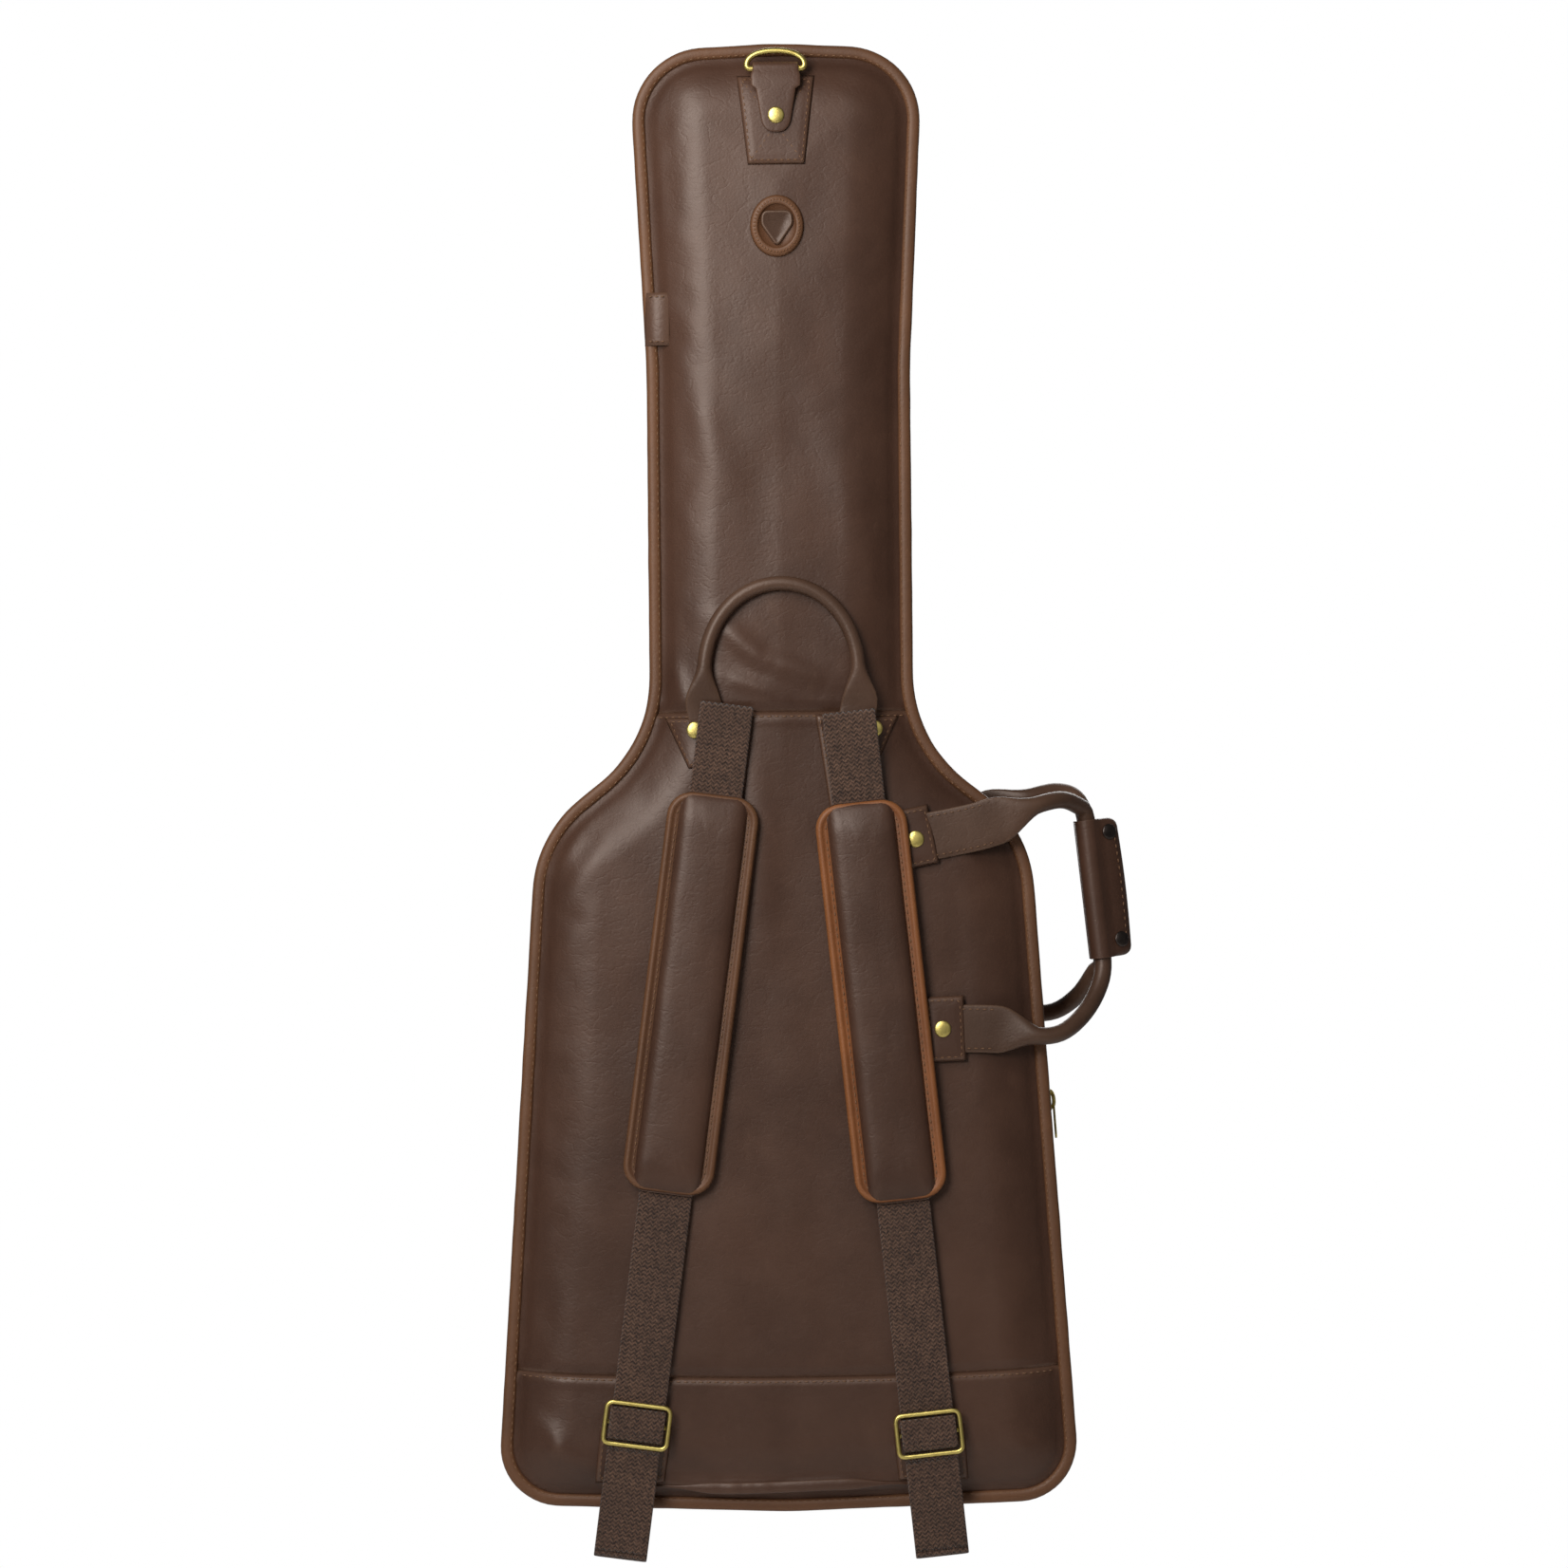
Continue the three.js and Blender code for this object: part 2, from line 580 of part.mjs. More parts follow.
// Spare webbing: down from the buckle, folded under the bag's edge and back up to its anchor.
function webbingLoop(spec, webY, webEnd, anchorX) {
  const radius = loopFold.halfGap;
  const alongStrap = (z) => (z - spec.topZ) / Math.cos(THREE.MathUtils.degToRad(spec.angle));
  const foldZ = alongStrap(loopFold.bottomZ) + radius + strap.thickness / 2;
  const fold = Array.from({ length: 7 }, (_, i) => {
    const angle = Math.PI + (Math.PI * i) / 6;
    return [webY + radius * (1 + Math.cos(angle)), foldZ + radius * Math.sin(angle)];
  });
  const overAnchor = patchLift + anchor.thickness + strap.thickness / 2 + 6 * gap;
  const backLeg = [-4, 4, 12, 20, 28].map((rise) => {
    const z = anchor.bottomZ + rise;
    return [backY(anchorX, z) - overAnchor, alongStrap(z)];
  });
  const underEdge = [-sideDepth - loopFold.underRim, alongStrap(-bagLength)];
  const points = [[webY, -webEnd - gap], ...fold, underEdge, ...backLeg];
  return bentStrip(points, strap.thickness, strap.width);
}

// ---- side handle: one loop on each half, joined by a snap wrap ------------------------------
// Centreline of the rolled loop on the back half, from the upper strap to the lower one.
const wrapTop = { x: 219, z: -558 };
const wrapTilt = 6.2; // lean of the loop's straight stretch
const gripDepth = 10; // depth of the loop's centreline inside the wrap
const wrapInner = grip.radius + 2.5 * gap;
const straight = [-5, 20, 50, 80, grip.wrapLength + 5].map((along) => (
  [wrapTop.x + along * Math.tan(THREE.MathUtils.degToRad(wrapTilt)), -gripDepth, wrapTop.z - along]));
const gripPath = [[168, -48, -552], [184, -44, -546], [200, -32, -543], [212, -18, -547],
  ...straight, [226, -17, -680], [215, -30, -697], [200, -42, -709], [184, -48, -712],
  [171, -49, -709]];

function gripWrap() {
  const inner = wrapInner;
  const outer = inner + grip.wrapWall;
  const middle = gripDepth;
  const meetY = gap / 2;
  const arc = (radius, from, to, steps) => Array.from({ length: steps + 1 }, (_, i) => {
    const turn = THREE.MathUtils.degToRad(from + ((to - from) * i) / steps);
    return new THREE.Vector2(radius * Math.cos(turn), -middle + radius * Math.sin(turn));
  });
  const section = [
    new THREE.Vector2(inner + grip.flange, -meetY), new THREE.Vector2(inner, -meetY),
    ...arc(inner, 0, -180, 8), new THREE.Vector2(-inner, -meetY),
    new THREE.Vector2(-outer, -meetY), ...arc(outer, -180, -25, 8),
    new THREE.Vector2(outer, -meetY - grip.wrapWall),
    new THREE.Vector2(inner + grip.flange, -meetY - grip.wrapWall),
  ];
  return loft([0, -grip.wrapLength].map((z) => (
    section.map((p) => new THREE.Vector3(p.x, p.y, z)))));
}

function gripStrap(spec) {
  const middle = backFlat - grip.strapLift;
  const strip = new THREE.BoxGeometry(spec.inner + spec.outer, grip.strapThickness, grip.strapWidth);
  strip.translate((spec.outer - spec.inner) / 2, middle, 0);
  return strip.rotateY(-THREE.MathUtils.degToRad(spec.tilt)).translate(spec.x, 0, spec.z);
}

function buildSideHandle() {
  const roll = tube(gripPath, grip.radius, 30);
  const lean = new THREE.Matrix4().makeRotationY(-THREE.MathUtils.degToRad(wrapTilt));
  const wrap = gripWrap().applyMatrix4(lean).translate(wrapTop.x, 0, wrapTop.z);
  place('side_handle_back_roll', 'handle', roll);
  place('side_handle_front_roll', 'handle', mirrored(roll));
  place('side_handle_back_wrap', 'panel', wrap);
  place('side_handle_front_wrap', 'panel', mirrored(wrap));
  for (const [name, along] of Object.entries(grip.snaps)) {
    const out = wrapInner + grip.flange - grip.snapR - grip.snapMargin;
    const at = new THREE.Vector3(out, -gap / 2 - grip.wrapWall - gap, -along).applyMatrix4(lean);
    const cap = domedHead(grip.snapR, grip.snapHeight);
    place(`side_handle_snap_${name}`, 'snap', cap)
      .position.set(wrapTop.x + at.x, at.y, wrapTop.z + at.z);
  }
  for (const [name, spec] of Object.entries(gripStraps)) {
    const strip = gripStrap(spec);
    place(`side_handle_back_strap_${name}`, 'panel', strip);
    place(`side_handle_front_strap_${name}`, 'panel', mirrored(strip));
    const faceY = backFlat - grip.strapLift - grip.strapThickness / 2 - gap;
    addRivet(`side_handle_back_rivet_${name}`, spec.x, faceY, spec.z);
    const front = addRivet(`side_handle_front_rivet_${name}`, spec.x, -faceY, spec.z);
    front.rotation.x = Math.PI;
  }
}

// ---- main zip's slider, on the straight +X side ---------------------------------------------
function buildMainSlider() {
  const lower = bagOutline(0)[cornerStart[5]];
  const upper = bagOutline(0)[cornerStart[5] - 1];
  const along = upper.clone().sub(lower).normalize();
  const group = new THREE.Group();
  const share = (slider.z - lower.y) / (upper.y - lower.y);
  group.position.set(THREE.MathUtils.lerp(lower.x, upper.x, share), 0, slider.z);
  group.rotation.y = Math.atan2(along.x, along.y);
  bag.add(group);
  const plate = new THREE.BoxGeometry(slider.thickness, slider.width, slider.length);
  place('main_zip_slider', 'brass', plate, group).position.x = slider.thickness / 2;
  const leaf = new THREE.BoxGeometry(pull.thickness, pull.width, pull.length);
  place('main_zip_pull', 'brass', leaf, group).position
    .set(slider.thickness + gap + pull.thickness / 2, 0, pull.overlap - pull.length / 2);
  const tab = new THREE.BoxGeometry(zipTab.width, leather, zipTab.length);
  const tabY = backY(-neckHalf + zipTab.inset + zipTab.width / 2, zipTab.z) - zipTab.lift - leather / 2;
  place('zip_end_tab', 'panel', tab).position.set(-neckHalf + zipTab.inset, tabY, zipTab.z);
}

// ---- accessory pocket on the front, and the pillow under the guitar's neck -------------------
function buildPocket() {
  const base = -backFlat + gap;
  const corners = boxCorners(pocket.halfWidth, pocket.topZ, pocket.bottomZ, pocket.cornerR, 5);
  const face = base + pocket.depth;
  place('front_pocket', 'panel', loft([
    loopRing(corners, pocket.edge, face), loopRing(corners, pocket.rim, face - pocket.rim),
    loopRing(corners, 0, face - pocket.edge), loopRing(corners, 0, base),
    loopRing(corners, pocket.wall, base), loopRing(corners, pocket.wall, face - pocket.edge),
    loopRing(corners, pocket.edge, face - pocket.wall),
  ]));
  const middleY = base + (pocket.depth - pocket.edge) / 2;
  const tape = new THREE.BoxGeometry(2 * pocketZip.halfLength, pocketZip.width, pocketZip.thickness);
  place('pocket_zip_tape', 'tape', tape).position
    .set(0, middleY, pocket.topZ + gap + pocketZip.thickness / 2);
  const top = pocket.topZ + gap + pocketZip.thickness + gap;
  const body = new THREE.BoxGeometry(slider.length, pocketZip.sliderWidth, slider.thickness);
  const startX = pocketZip.halfLength - slider.length / 2;
  place('pocket_zip_slider', 'brass', body).position
    .set(startX, middleY, top + slider.thickness / 2);
  const leaf = new THREE.BoxGeometry(pull.length, pocketZip.pullWidth, pull.thickness);
  place('pocket_zip_pull', 'brass', leaf).position
    .set(startX - pull.length / 2 + pull.overlap, middleY,
      top + slider.thickness + gap + pull.thickness / 2);
  const inner = backFlat + liningDepth + lining + gap;
  const cushion = cushionPlate(boxCorners(neckRest.halfWidth, neckRest.z + neckRest.halfHeight,
    neckRest.z - neckRest.halfHeight, neckRest.cornerR, 3), 0, neckRest.thickness, neckRest.edge);
  place('neck_rest', 'cloth', mirrored(cushion)).position.y = inner;
}

// ---- assembly -----------------------------------------------------------------------------
buildHalves();
buildRing();
buildTopHandle();
strapSides.forEach(buildStrap);
buildSideHandle();
buildMainSlider();
buildPocket();

// The bag hangs by the inside of its ring, so that point is the origin.
const group = new THREE.Group();
bag.position.set(0, -ring.y, -(ring.topZ - 2 * ring.wire));
group.add(bag);

export default group;
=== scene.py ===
"""Dresses the gig bag's frame: padded leather halves, webbing straps, handles, brass and zips.

Places are worked out in the bag's own frame, in metres: X = 0 on the centreline, Y = 0 on the
main zip with the back at -Y, Z = 0 at the top edge. Each finished mesh is then moved to the
row frame, whose origin is the inside of the hanging ring.
"""

import logging
import math
from collections.abc import Callable, Sequence
from dataclasses import dataclass, field
from enum import Enum

import bmesh
import bpy
import numpy as np
from mathutils import Matrix, Vector, noise


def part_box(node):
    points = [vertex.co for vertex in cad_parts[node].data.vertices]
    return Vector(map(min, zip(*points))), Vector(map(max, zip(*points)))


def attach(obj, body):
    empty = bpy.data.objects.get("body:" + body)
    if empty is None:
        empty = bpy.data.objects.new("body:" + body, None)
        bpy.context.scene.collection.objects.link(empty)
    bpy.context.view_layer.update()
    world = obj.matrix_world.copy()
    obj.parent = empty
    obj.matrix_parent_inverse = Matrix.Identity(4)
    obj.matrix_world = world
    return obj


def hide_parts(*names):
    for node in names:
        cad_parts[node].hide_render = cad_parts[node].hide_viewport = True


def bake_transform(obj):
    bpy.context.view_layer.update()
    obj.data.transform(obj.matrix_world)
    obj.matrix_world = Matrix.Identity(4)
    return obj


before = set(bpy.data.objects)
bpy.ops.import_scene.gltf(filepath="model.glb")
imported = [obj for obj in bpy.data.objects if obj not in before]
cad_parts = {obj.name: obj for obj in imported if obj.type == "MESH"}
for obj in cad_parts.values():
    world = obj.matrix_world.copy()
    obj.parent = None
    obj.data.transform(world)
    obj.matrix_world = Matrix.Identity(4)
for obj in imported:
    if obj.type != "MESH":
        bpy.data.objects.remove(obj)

LOG = logging.getLogger("gig_bag")
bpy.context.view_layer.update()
X_AXIS = Vector((1.0, 0.0, 0.0))
Y_AXIS = Vector((0.0, 1.0, 0.0))
Z_AXIS = Vector((0.0, 0.0, 1.0))
BACKWARD = -Y_AXIS
WEBBING_HALF = 0.0011  # half the webbing's thickness


def bag_origin() -> Vector:
    """Place of the bag's own zero in the row frame: top edge, centreline, middle of the zip."""
    _, back_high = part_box("back_side_wall")
    front_low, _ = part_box("front_side_wall")
    return Vector((0.0, (back_high.y + front_low.y) / 2, back_high.z))


ORIGIN = bag_origin()


# ---- shader building ---------------------------------------------------------------------
class Value:
    """A shader number or colour that takes part in Python expressions."""

    def __init__(self, tree: bpy.types.NodeTree, socket: bpy.types.NodeSocket) -> None:
        """Args: tree: the node tree. socket: the output that carries the value."""
        self.tree = tree
        self.socket = socket

    def _math(self, operation: str, left: object, right: object) -> "Value":
        """Adds one Math node and returns its output."""
        node = self.tree.nodes.new("ShaderNodeMath")
        node.operation = operation
        for slot, item in zip(node.inputs, (left, right)):
            if isinstance(item, Value):
                self.tree.links.new(item.socket, slot)
            else:
                slot.default_value = float(item)
        return Value(self.tree, node.outputs[0])

    def __add__(self, other: object) -> "Value":
        """self + other."""
        return self._math("ADD", self, other)

    def __radd__(self, other: object) -> "Value":
        """other + self."""
        return self._math("ADD", other, self)

    def __sub__(self, other: object) -> "Value":
        """self - other."""
        return self._math("SUBTRACT", self, other)

    def __rsub__(self, other: object) -> "Value":
        """other - self."""
        return self._math("SUBTRACT", other, self)

    def __mul__(self, other: object) -> "Value":
        """self * other."""
        return self._math("MULTIPLY", self, other)

    def __rmul__(self, other: object) -> "Value":
        """other * self."""
        return self._math("MULTIPLY", other, self)

    def __mod__(self, other: object) -> "Value":
        """self % other, never negative."""
        return self._math("FLOORED_MODULO", self, other)

    def __abs__(self) -> "Value":
        """abs(self)."""
        return self._math("ABSOLUTE", self, 0.0)


class Shader:
    """A material under construction around one Principled BSDF."""

    def __init__(self, name: str) -> None:
        """Args: name: the material's name."""
        self.material = bpy.data.materials.new(name)
        self.material.use_nodes = True
        self.tree = self.material.node_tree
        self.tree.nodes.clear()
        self.surface = self.tree.nodes.new("ShaderNodeBsdfPrincipled")
        output = self.tree.nodes.new("ShaderNodeOutputMaterial")
        self.tree.links.new(self.surface.outputs[0], output.inputs["Surface"])

    def node(self, kind: str, settings: dict, inputs: dict, output: int | str = 0) -> Value:
        """Adds a node.

        Args:
            kind: the node's type.
            settings: its own properties, set first.
            inputs: values or Values for its sockets, by name or number.
            output: the output to return.

        Returns:
            The chosen output as a Value.
        """
        node = self.tree.nodes.new(kind)
        for key, setting in settings.items():
            setattr(node, key, setting)
        for key, item in inputs.items():
            if isinstance(item, Value):
                self.tree.links.new(item.socket, node.inputs[key])
            else:
                node.inputs[key].default_value = item
        return Value(self.tree, node.outputs[output])

    def place(self) -> Value:
        """Object coordinates, in metres."""
        return self.node("ShaderNodeTexCoord", {}, {}, "Object")

    def stretched(self, scale: tuple[float, float, float]) -> Value:
        """Object coordinates scaled along each axis."""
        return self.node("ShaderNodeMapping", {}, {"Vector": self.place(), "Scale": scale})

    def noise(self, where: Value, scale: float, detail: float = 3.0, rough: float = 0.5) -> Value:
        """A noise texture's value, about 0.5 on average."""
        inputs = {"Vector": where, "Scale": scale, "Detail": detail, "Roughness": rough}
        return self.node("ShaderNodeTexNoise", {}, inputs, 0)

    def cells(self, where: Value, scale: float, feature: str = "F1") -> Value:
        """Distance in a cell pattern."""
        settings = {"feature": feature}
        return self.node("ShaderNodeTexVoronoi", settings, {"Vector": where, "Scale": scale}, 0)

    def fade(self, value: Value, low: float, high: float) -> Value:
        """A smooth step of a value between two limits."""
        settings = {"interpolation_type": "SMOOTHSTEP"}
        inputs = {"Value": value, "From Min": low, "From Max": high}
        return self.node("ShaderNodeMapRange", settings, inputs, 0)

    def mix(self, factor: Value, first: object, second: object) -> Value:
        """Two colours mixed by a factor."""
        settings = {"data_type": "RGBA"}
        inputs = {0: factor, 6: first, 7: second}
        return self.node("ShaderNodeMix", settings, inputs, 2)

    def path(self) -> tuple[Value, Value]:
        """Distance along and across a swept piece, in metres."""
        settings = {"attribute_name": "path", "attribute_type": "GEOMETRY"}
        vector = self.node("ShaderNodeAttribute", settings, {}, "Vector")
        node = self.tree.nodes.new("ShaderNodeSeparateXYZ")
        self.tree.links.new(vector.socket, node.inputs[0])
        return Value(self.tree, node.outputs[0]), Value(self.tree, node.outputs[1])

    def bump(self, height: Value, depth: float, below: Value | None = None) -> Value:
        """A bump whose height value of 1 stands for a depth in metres."""
        inputs = {"Height": height, "Distance": depth, "Strength": 1.0}
        if below is not None:
            inputs["Normal"] = below
        return self.node("ShaderNodeBump", {}, inputs, 0)

    def link(self, name: str, item: Value) -> None:
        """Feeds one of the surface's sockets."""
        self.tree.links.new(item.socket, self.surface.inputs[name])

    def constant(self, **values: float) -> None:
        """Sets the surface's sockets; underscores stand for spaces."""
        for name, number in values.items():
            self.surface.inputs[name.replace("_", " ")].default_value = number


Colour = tuple[float, float, float, float]


def tone(red: float, green: float, blue: float) -> Colour:
    """A display colour from 0 to 255 as a linear colour."""
    linear = [(c / 255) / 12.92 if c <= 10 else ((c / 255 + 0.055) / 1.055) ** 2.4
              for c in (red, green, blue)]
    return (*linear, 1.0)


WAX = (1.0, 0.86, 0.77, 1.0)


@dataclass(frozen=True)
class Leather:
    """Waxed pull-up leather: mottled, finely grained, paler where it is stretched."""

    name: str
    dark: Colour
    mid: Colour
    pale: Colour
    roughness: float = 0.42
    grain: float = 0.00007
    crease: float = 0.00004
    specular: float = 0.42

    def build(self) -> bpy.types.Material:
        """Returns the material."""
        make = Shader(self.name)
        where = make.place()
        broad = make.noise(where, 5.0, 4.0, 0.6)
        cloud = make.noise(where, 22.0, 5.0, 0.62)
        wear = make.noise(make.stretched((1.0, 1.0, 0.35)), 60.0, 6.0, 0.7)
        scuff = make.noise(make.stretched((1.0, 1.0, 3.0)), 160.0, 4.0, 0.6)
        base = make.mix(make.fade(broad * 0.65 + cloud * 0.35, 0.32, 0.68), self.dark, self.mid)
        ridge = make.node("ShaderNodeNewGeometry", {}, {}, "Pointiness")
        stretched = make.fade(ridge, 0.51, 0.58)
        worn = make.fade(wear, 0.58, 0.82) * 0.16 + stretched * 0.35
        colour = make.mix(worn, base, self.pale)
        make.link("Base Color", colour)
        make.link("Roughness", self.roughness + (cloud - 0.5) * 0.12 + (scuff - 0.5) * 0.06)
        pebble = make.cells(where, 620.0, "SMOOTH_F1")
        fine = make.noise(where, 1500.0, 2.0)
        fold = make.noise(make.stretched((1.0, 1.0, 1.4)), 46.0, 3.0, 0.6)
        valley = abs(fold - 0.5)
        soft = make.bump(make.fade(valley, 0.0, 0.05), self.crease)
        make.link("Normal", make.bump(pebble * 0.7 + fine * 0.3, self.grain, soft))
        make.constant(Specular_IOR_Level=self.specular, Specular_Tint=WAX)
        return make.material


@dataclass(frozen=True)
class Webbing:
    """Herringbone webbing, woven along the strap."""

    name: str
    dark: Colour
    pale: Colour
    pitch: float = 0.0030
    fold: float = 0.0042

    def build(self) -> bpy.types.Material:
        """Returns the material."""
        make = Shader(self.name)
        along, across = make.path()
        zigzag = abs((across * (1 / self.fold)) % 1.0 - 0.5)
        twill = ((along + zigzag * self.fold) * (1 / self.pitch)) % 1.0
        ridge = make.fade(abs(twill - 0.5), 0.08, 0.42)
        thread = make.fade(abs((across * 1100.0) % 1.0 - 0.5), 0.05, 0.45)
        fleck = make.noise(make.place(), 700.0, 2.0)
        stain = make.noise(make.place(), 35.0, 4.0)
        knot = make.noise(make.place(), 430.0, 2.0)
        lit = make.mix(ridge * 0.38 + thread * 0.16 + (fleck - 0.5) * 0.9 + (knot - 0.42) * 1.1,
                       self.dark, self.pale)
        shade = make.fade(stain, 0.3, 0.7) * 0.25
        make.link("Base Color", make.mix(shade, lit, self.dark))
        make.link("Roughness", 0.78 + (fleck - 0.5) * 0.2)
        make.link("Normal", make.bump(ridge + thread * 0.4 + knot * 1.4, 0.0006))
        make.constant(Specular_IOR_Level=0.2, Sheen_Weight=0.15, Sheen_Roughness=0.5)
        return make.material


@dataclass(frozen=True)
class Cloth:
    """Plain woven cloth; the foam uses it too, with a coarser, shallower weave."""

    name: str
    dark: Colour
    pale: Colour
    threads: float = 900.0
    weave: float = 0.0002

    def build(self) -> bpy.types.Material:
        """Returns the material."""
        make = Shader(self.name)
        warp, weft = (make.node("ShaderNodeTexWave",
                                {"wave_type": "BANDS", "bands_direction": way},
                                {"Vector": make.place(), "Scale": self.threads / 6,
                                 "Distortion": 0.6}, 1) for way in "XZ")
        patch = make.noise(make.place(), 30.0, 4.0)
        knit = warp * 0.5 + weft * 0.5
        make.link("Base Color", make.mix(knit * 0.5 + patch * 0.5, self.dark, self.pale))
        make.link("Roughness", 0.85 + (patch - 0.5) * 0.15)
        make.link("Normal", make.bump(knit, self.weave))
        make.constant(Specular_IOR_Level=0.2, Sheen_Weight=0.2, Sheen_Roughness=0.5)
        return make.material


@dataclass(frozen=True)
class Metal:
    """Rubbed metal with fine scratches and a little tarnish."""

    name: str
    bright: Colour
    tarnish: Colour
    roughness: float = 0.24

    def build(self) -> bpy.types.Material:
        """Returns the material."""
        make = Shader(self.name)
        stain = make.noise(make.place(), 120.0, 5.0, 0.65)
        scratch = make.noise(make.stretched((1.0, 1.0, 7.0)), 900.0, 3.0)
        colour = make.mix(make.fade(stain, 0.48, 0.75) * 0.6, self.bright, self.tarnish)
        make.link("Base Color", colour)
        make.link("Roughness", self.roughness + (scratch - 0.5) * 0.25 + (stain - 0.5) * 0.2)
        make.link("Normal", make.bump(scratch + stain * 0.5, 0.00004))
        make.constant(Metallic=1.0)
        return make.material


@dataclass(frozen=True)
class Thread:
    """Waxed twisted sewing thread."""

    name: str
    colour: Colour
    shade: Colour

    def build(self) -> bpy.types.Material:
        """Returns the material."""
        make = Shader(self.name)
        twist = make.noise(make.place(), 1600.0, 2.0)
        wax = make.noise(make.place(), 90.0, 3.0)
        make.link("Base Color", make.mix(twist * 0.6 + wax * 0.4, self.shade, self.colour))
        make.link("Roughness", 0.55 + (wax - 0.5) * 0.2)
        make.link("Normal", make.bump(twist, 0.0001))
        return make.material


class Finish(Enum):
    """The bag's finishes, each with its maker and the record's slot."""

    PANEL = (Leather("panel_leather", tone(56, 35, 25), tone(71, 47, 35), tone(106, 79, 62)),
             "leather_panel")
    TRIM = (Leather("trim_leather", tone(72, 45, 28), tone(94, 60, 37), tone(130, 90, 58), 0.5),
            "leather_trim")
    PAD_TRIM = (Leather("pad_edge_leather", tone(100, 58, 30), tone(132, 78, 40),
                        tone(164, 106, 60), 0.5), "leather_trim")
    HANDLE = (Leather("handle_leather", tone(58, 39, 28), tone(78, 55, 42), tone(112, 86, 67),
                      0.42), "leather_handle")
    WEBBING = (Webbing("strap_webbing", tone(44, 30, 23), tone(118, 88, 70)), "webbing")
    LINING = (Cloth("lining_cloth", tone(34, 30, 28), tone(54, 48, 45)), "lining_cloth")
    FOAM = (Cloth("foam_block", tone(58, 58, 60), tone(78, 78, 80), 400.0, 0.0001),
            "foam_padding")
    TAPE = (Cloth("zip_tape_cloth", tone(26, 21, 18), tone(44, 36, 31)), "zip_tape")
    BRASS = (Metal("pale_brass", tone(206, 186, 108), tone(150, 124, 62), 0.36), "brass_fittings")
    SNAP = (Metal("dark_snap", tone(74, 66, 62), tone(40, 34, 32), 0.34), "snap_metal")
    THREAD = (Thread("tan_thread", tone(128, 90, 58), tone(88, 60, 38)), "leather_trim")
    DARK_THREAD = (Thread("brown_thread", tone(92, 68, 52), tone(52, 38, 30)), "leather_panel")

    def __init__(self, maker: object, slot: str) -> None:
        """Args: maker: builds the material. slot: the record's material slot."""
        self.maker = maker
        self.slot = slot

    def material(self) -> bpy.types.Material:
        """Returns the finish's material, built once."""
        return bpy.data.materials.get(self.maker.name) or self.maker.build()


# ---- mesh building -----------------------------------------------------------------------
Points = Sequence[Vector]


def loft(bm: bmesh.types.BMesh, rings: Sequence[Points], closed: bool = False,
         caps: bool = True, across: Sequence[float] | None = None) -> None:
    """Joins rings of points, one after the other, with bridges.

    Args:
        bm: the mesh to add to.
        rings: rings of equal length.
        closed: whether the last ring joins the first.
        caps: whether the end rings are filled.
        across: each ring point's distance across the piece, for the path attribute.
    """
    layer = bm.verts.layers.float_vector.get("path") or bm.verts.layers.float_vector.new("path")
    made = []
    travelled = 0.0
    middle = None
    for ring in rings:
        centre = sum(ring, Vector()) / len(ring)
        travelled += (centre - middle).length if middle is not None else 0.0
        middle = centre
        verts = [bm.verts.new(point) for point in ring]
        for index, vert in enumerate(verts):
            vert[layer] = (travelled, across[index] if across else 0.0, 0.0)
        edges = [bm.edges.new((verts[i - 1], verts[i])) for i in range(len(verts))]
        made.append((verts, edges))
    pairs = list(zip(made, made[1:]))
    if closed:
        pairs.append((made[-1], made[0]))
    for (_, near), (_, far) in pairs:
        bmesh.ops.bridge_loops(bm, edges=near + far)
    if caps and not closed:
        bm.faces.new(made[0][0])
        bm.faces.new(made[-1][0])


def place_piece(name: str, bm: bmesh.types.BMesh, finish: Finish, body: str | None,
                replaces: Sequence[str] = (), turn: bool = True,
                thickness: float = 0.0) -> bpy.types.Object:
    """Makes a finished object from a mesh in the bag's frame.

    Args:
        name: the piece's name.
        bm: its mesh, freed here.
        finish: its finish.
        body: the body it rides on, or None to leave it unparented.
        replaces: CAD nodes that it stands for.
        turn: whether its normals are worked out again.
        thickness: a wall given to an open sheet, inwards.

    Returns:
        The object.
    """
    bmesh.ops.translate(bm, verts=bm.verts, vec=ORIGIN)
    if turn:
        bmesh.ops.recalc_face_normals(bm, faces=bm.faces)
    mesh = bpy.data.meshes.new(name)
    bm.to_mesh(mesh)
    bm.free()
    mesh.polygons.foreach_set("use_smooth", [True] * len(mesh.polygons))
    obj = bpy.data.objects.new(name, mesh)
    bpy.context.scene.collection.objects.link(obj)
    mesh.materials.append(finish.material())
    if thickness:
        wall = obj.modifiers.new("wall", "SOLIDIFY")
        wall.thickness = thickness
        wall.offset = -1.0
    if body is not None:
        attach(obj, body)
    if replaces:
        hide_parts(*replaces)
    LOG.info("%s: %d faces", name, len(mesh.polygons))
    return obj


def dress(node: str, finish: Finish) -> None:
    """Gives a CAD node a finish."""
    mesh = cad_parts[node].data
    mesh.materials.clear()
    mesh.materials.append(finish.material())


def resample(points: np.ndarray, step: float, closed: bool) -> np.ndarray:
    """Points at an even spacing along a polyline, near the step asked for."""
    line = np.vstack([points, points[:1]]) if closed else points
    lengths = np.linalg.norm(np.diff(line, axis=0), axis=1)
    run = np.concatenate([[0.0], np.cumsum(lengths)])
    count = max(2, int(round(run[-1] / step)))
    marks = np.linspace(0.0, run[-1], count, endpoint=False) if closed else \
        np.linspace(0.0, run[-1], count + 1)
    return np.stack([np.interp(marks, run, line[:, k]) for k in range(line.shape[1])], axis=1)


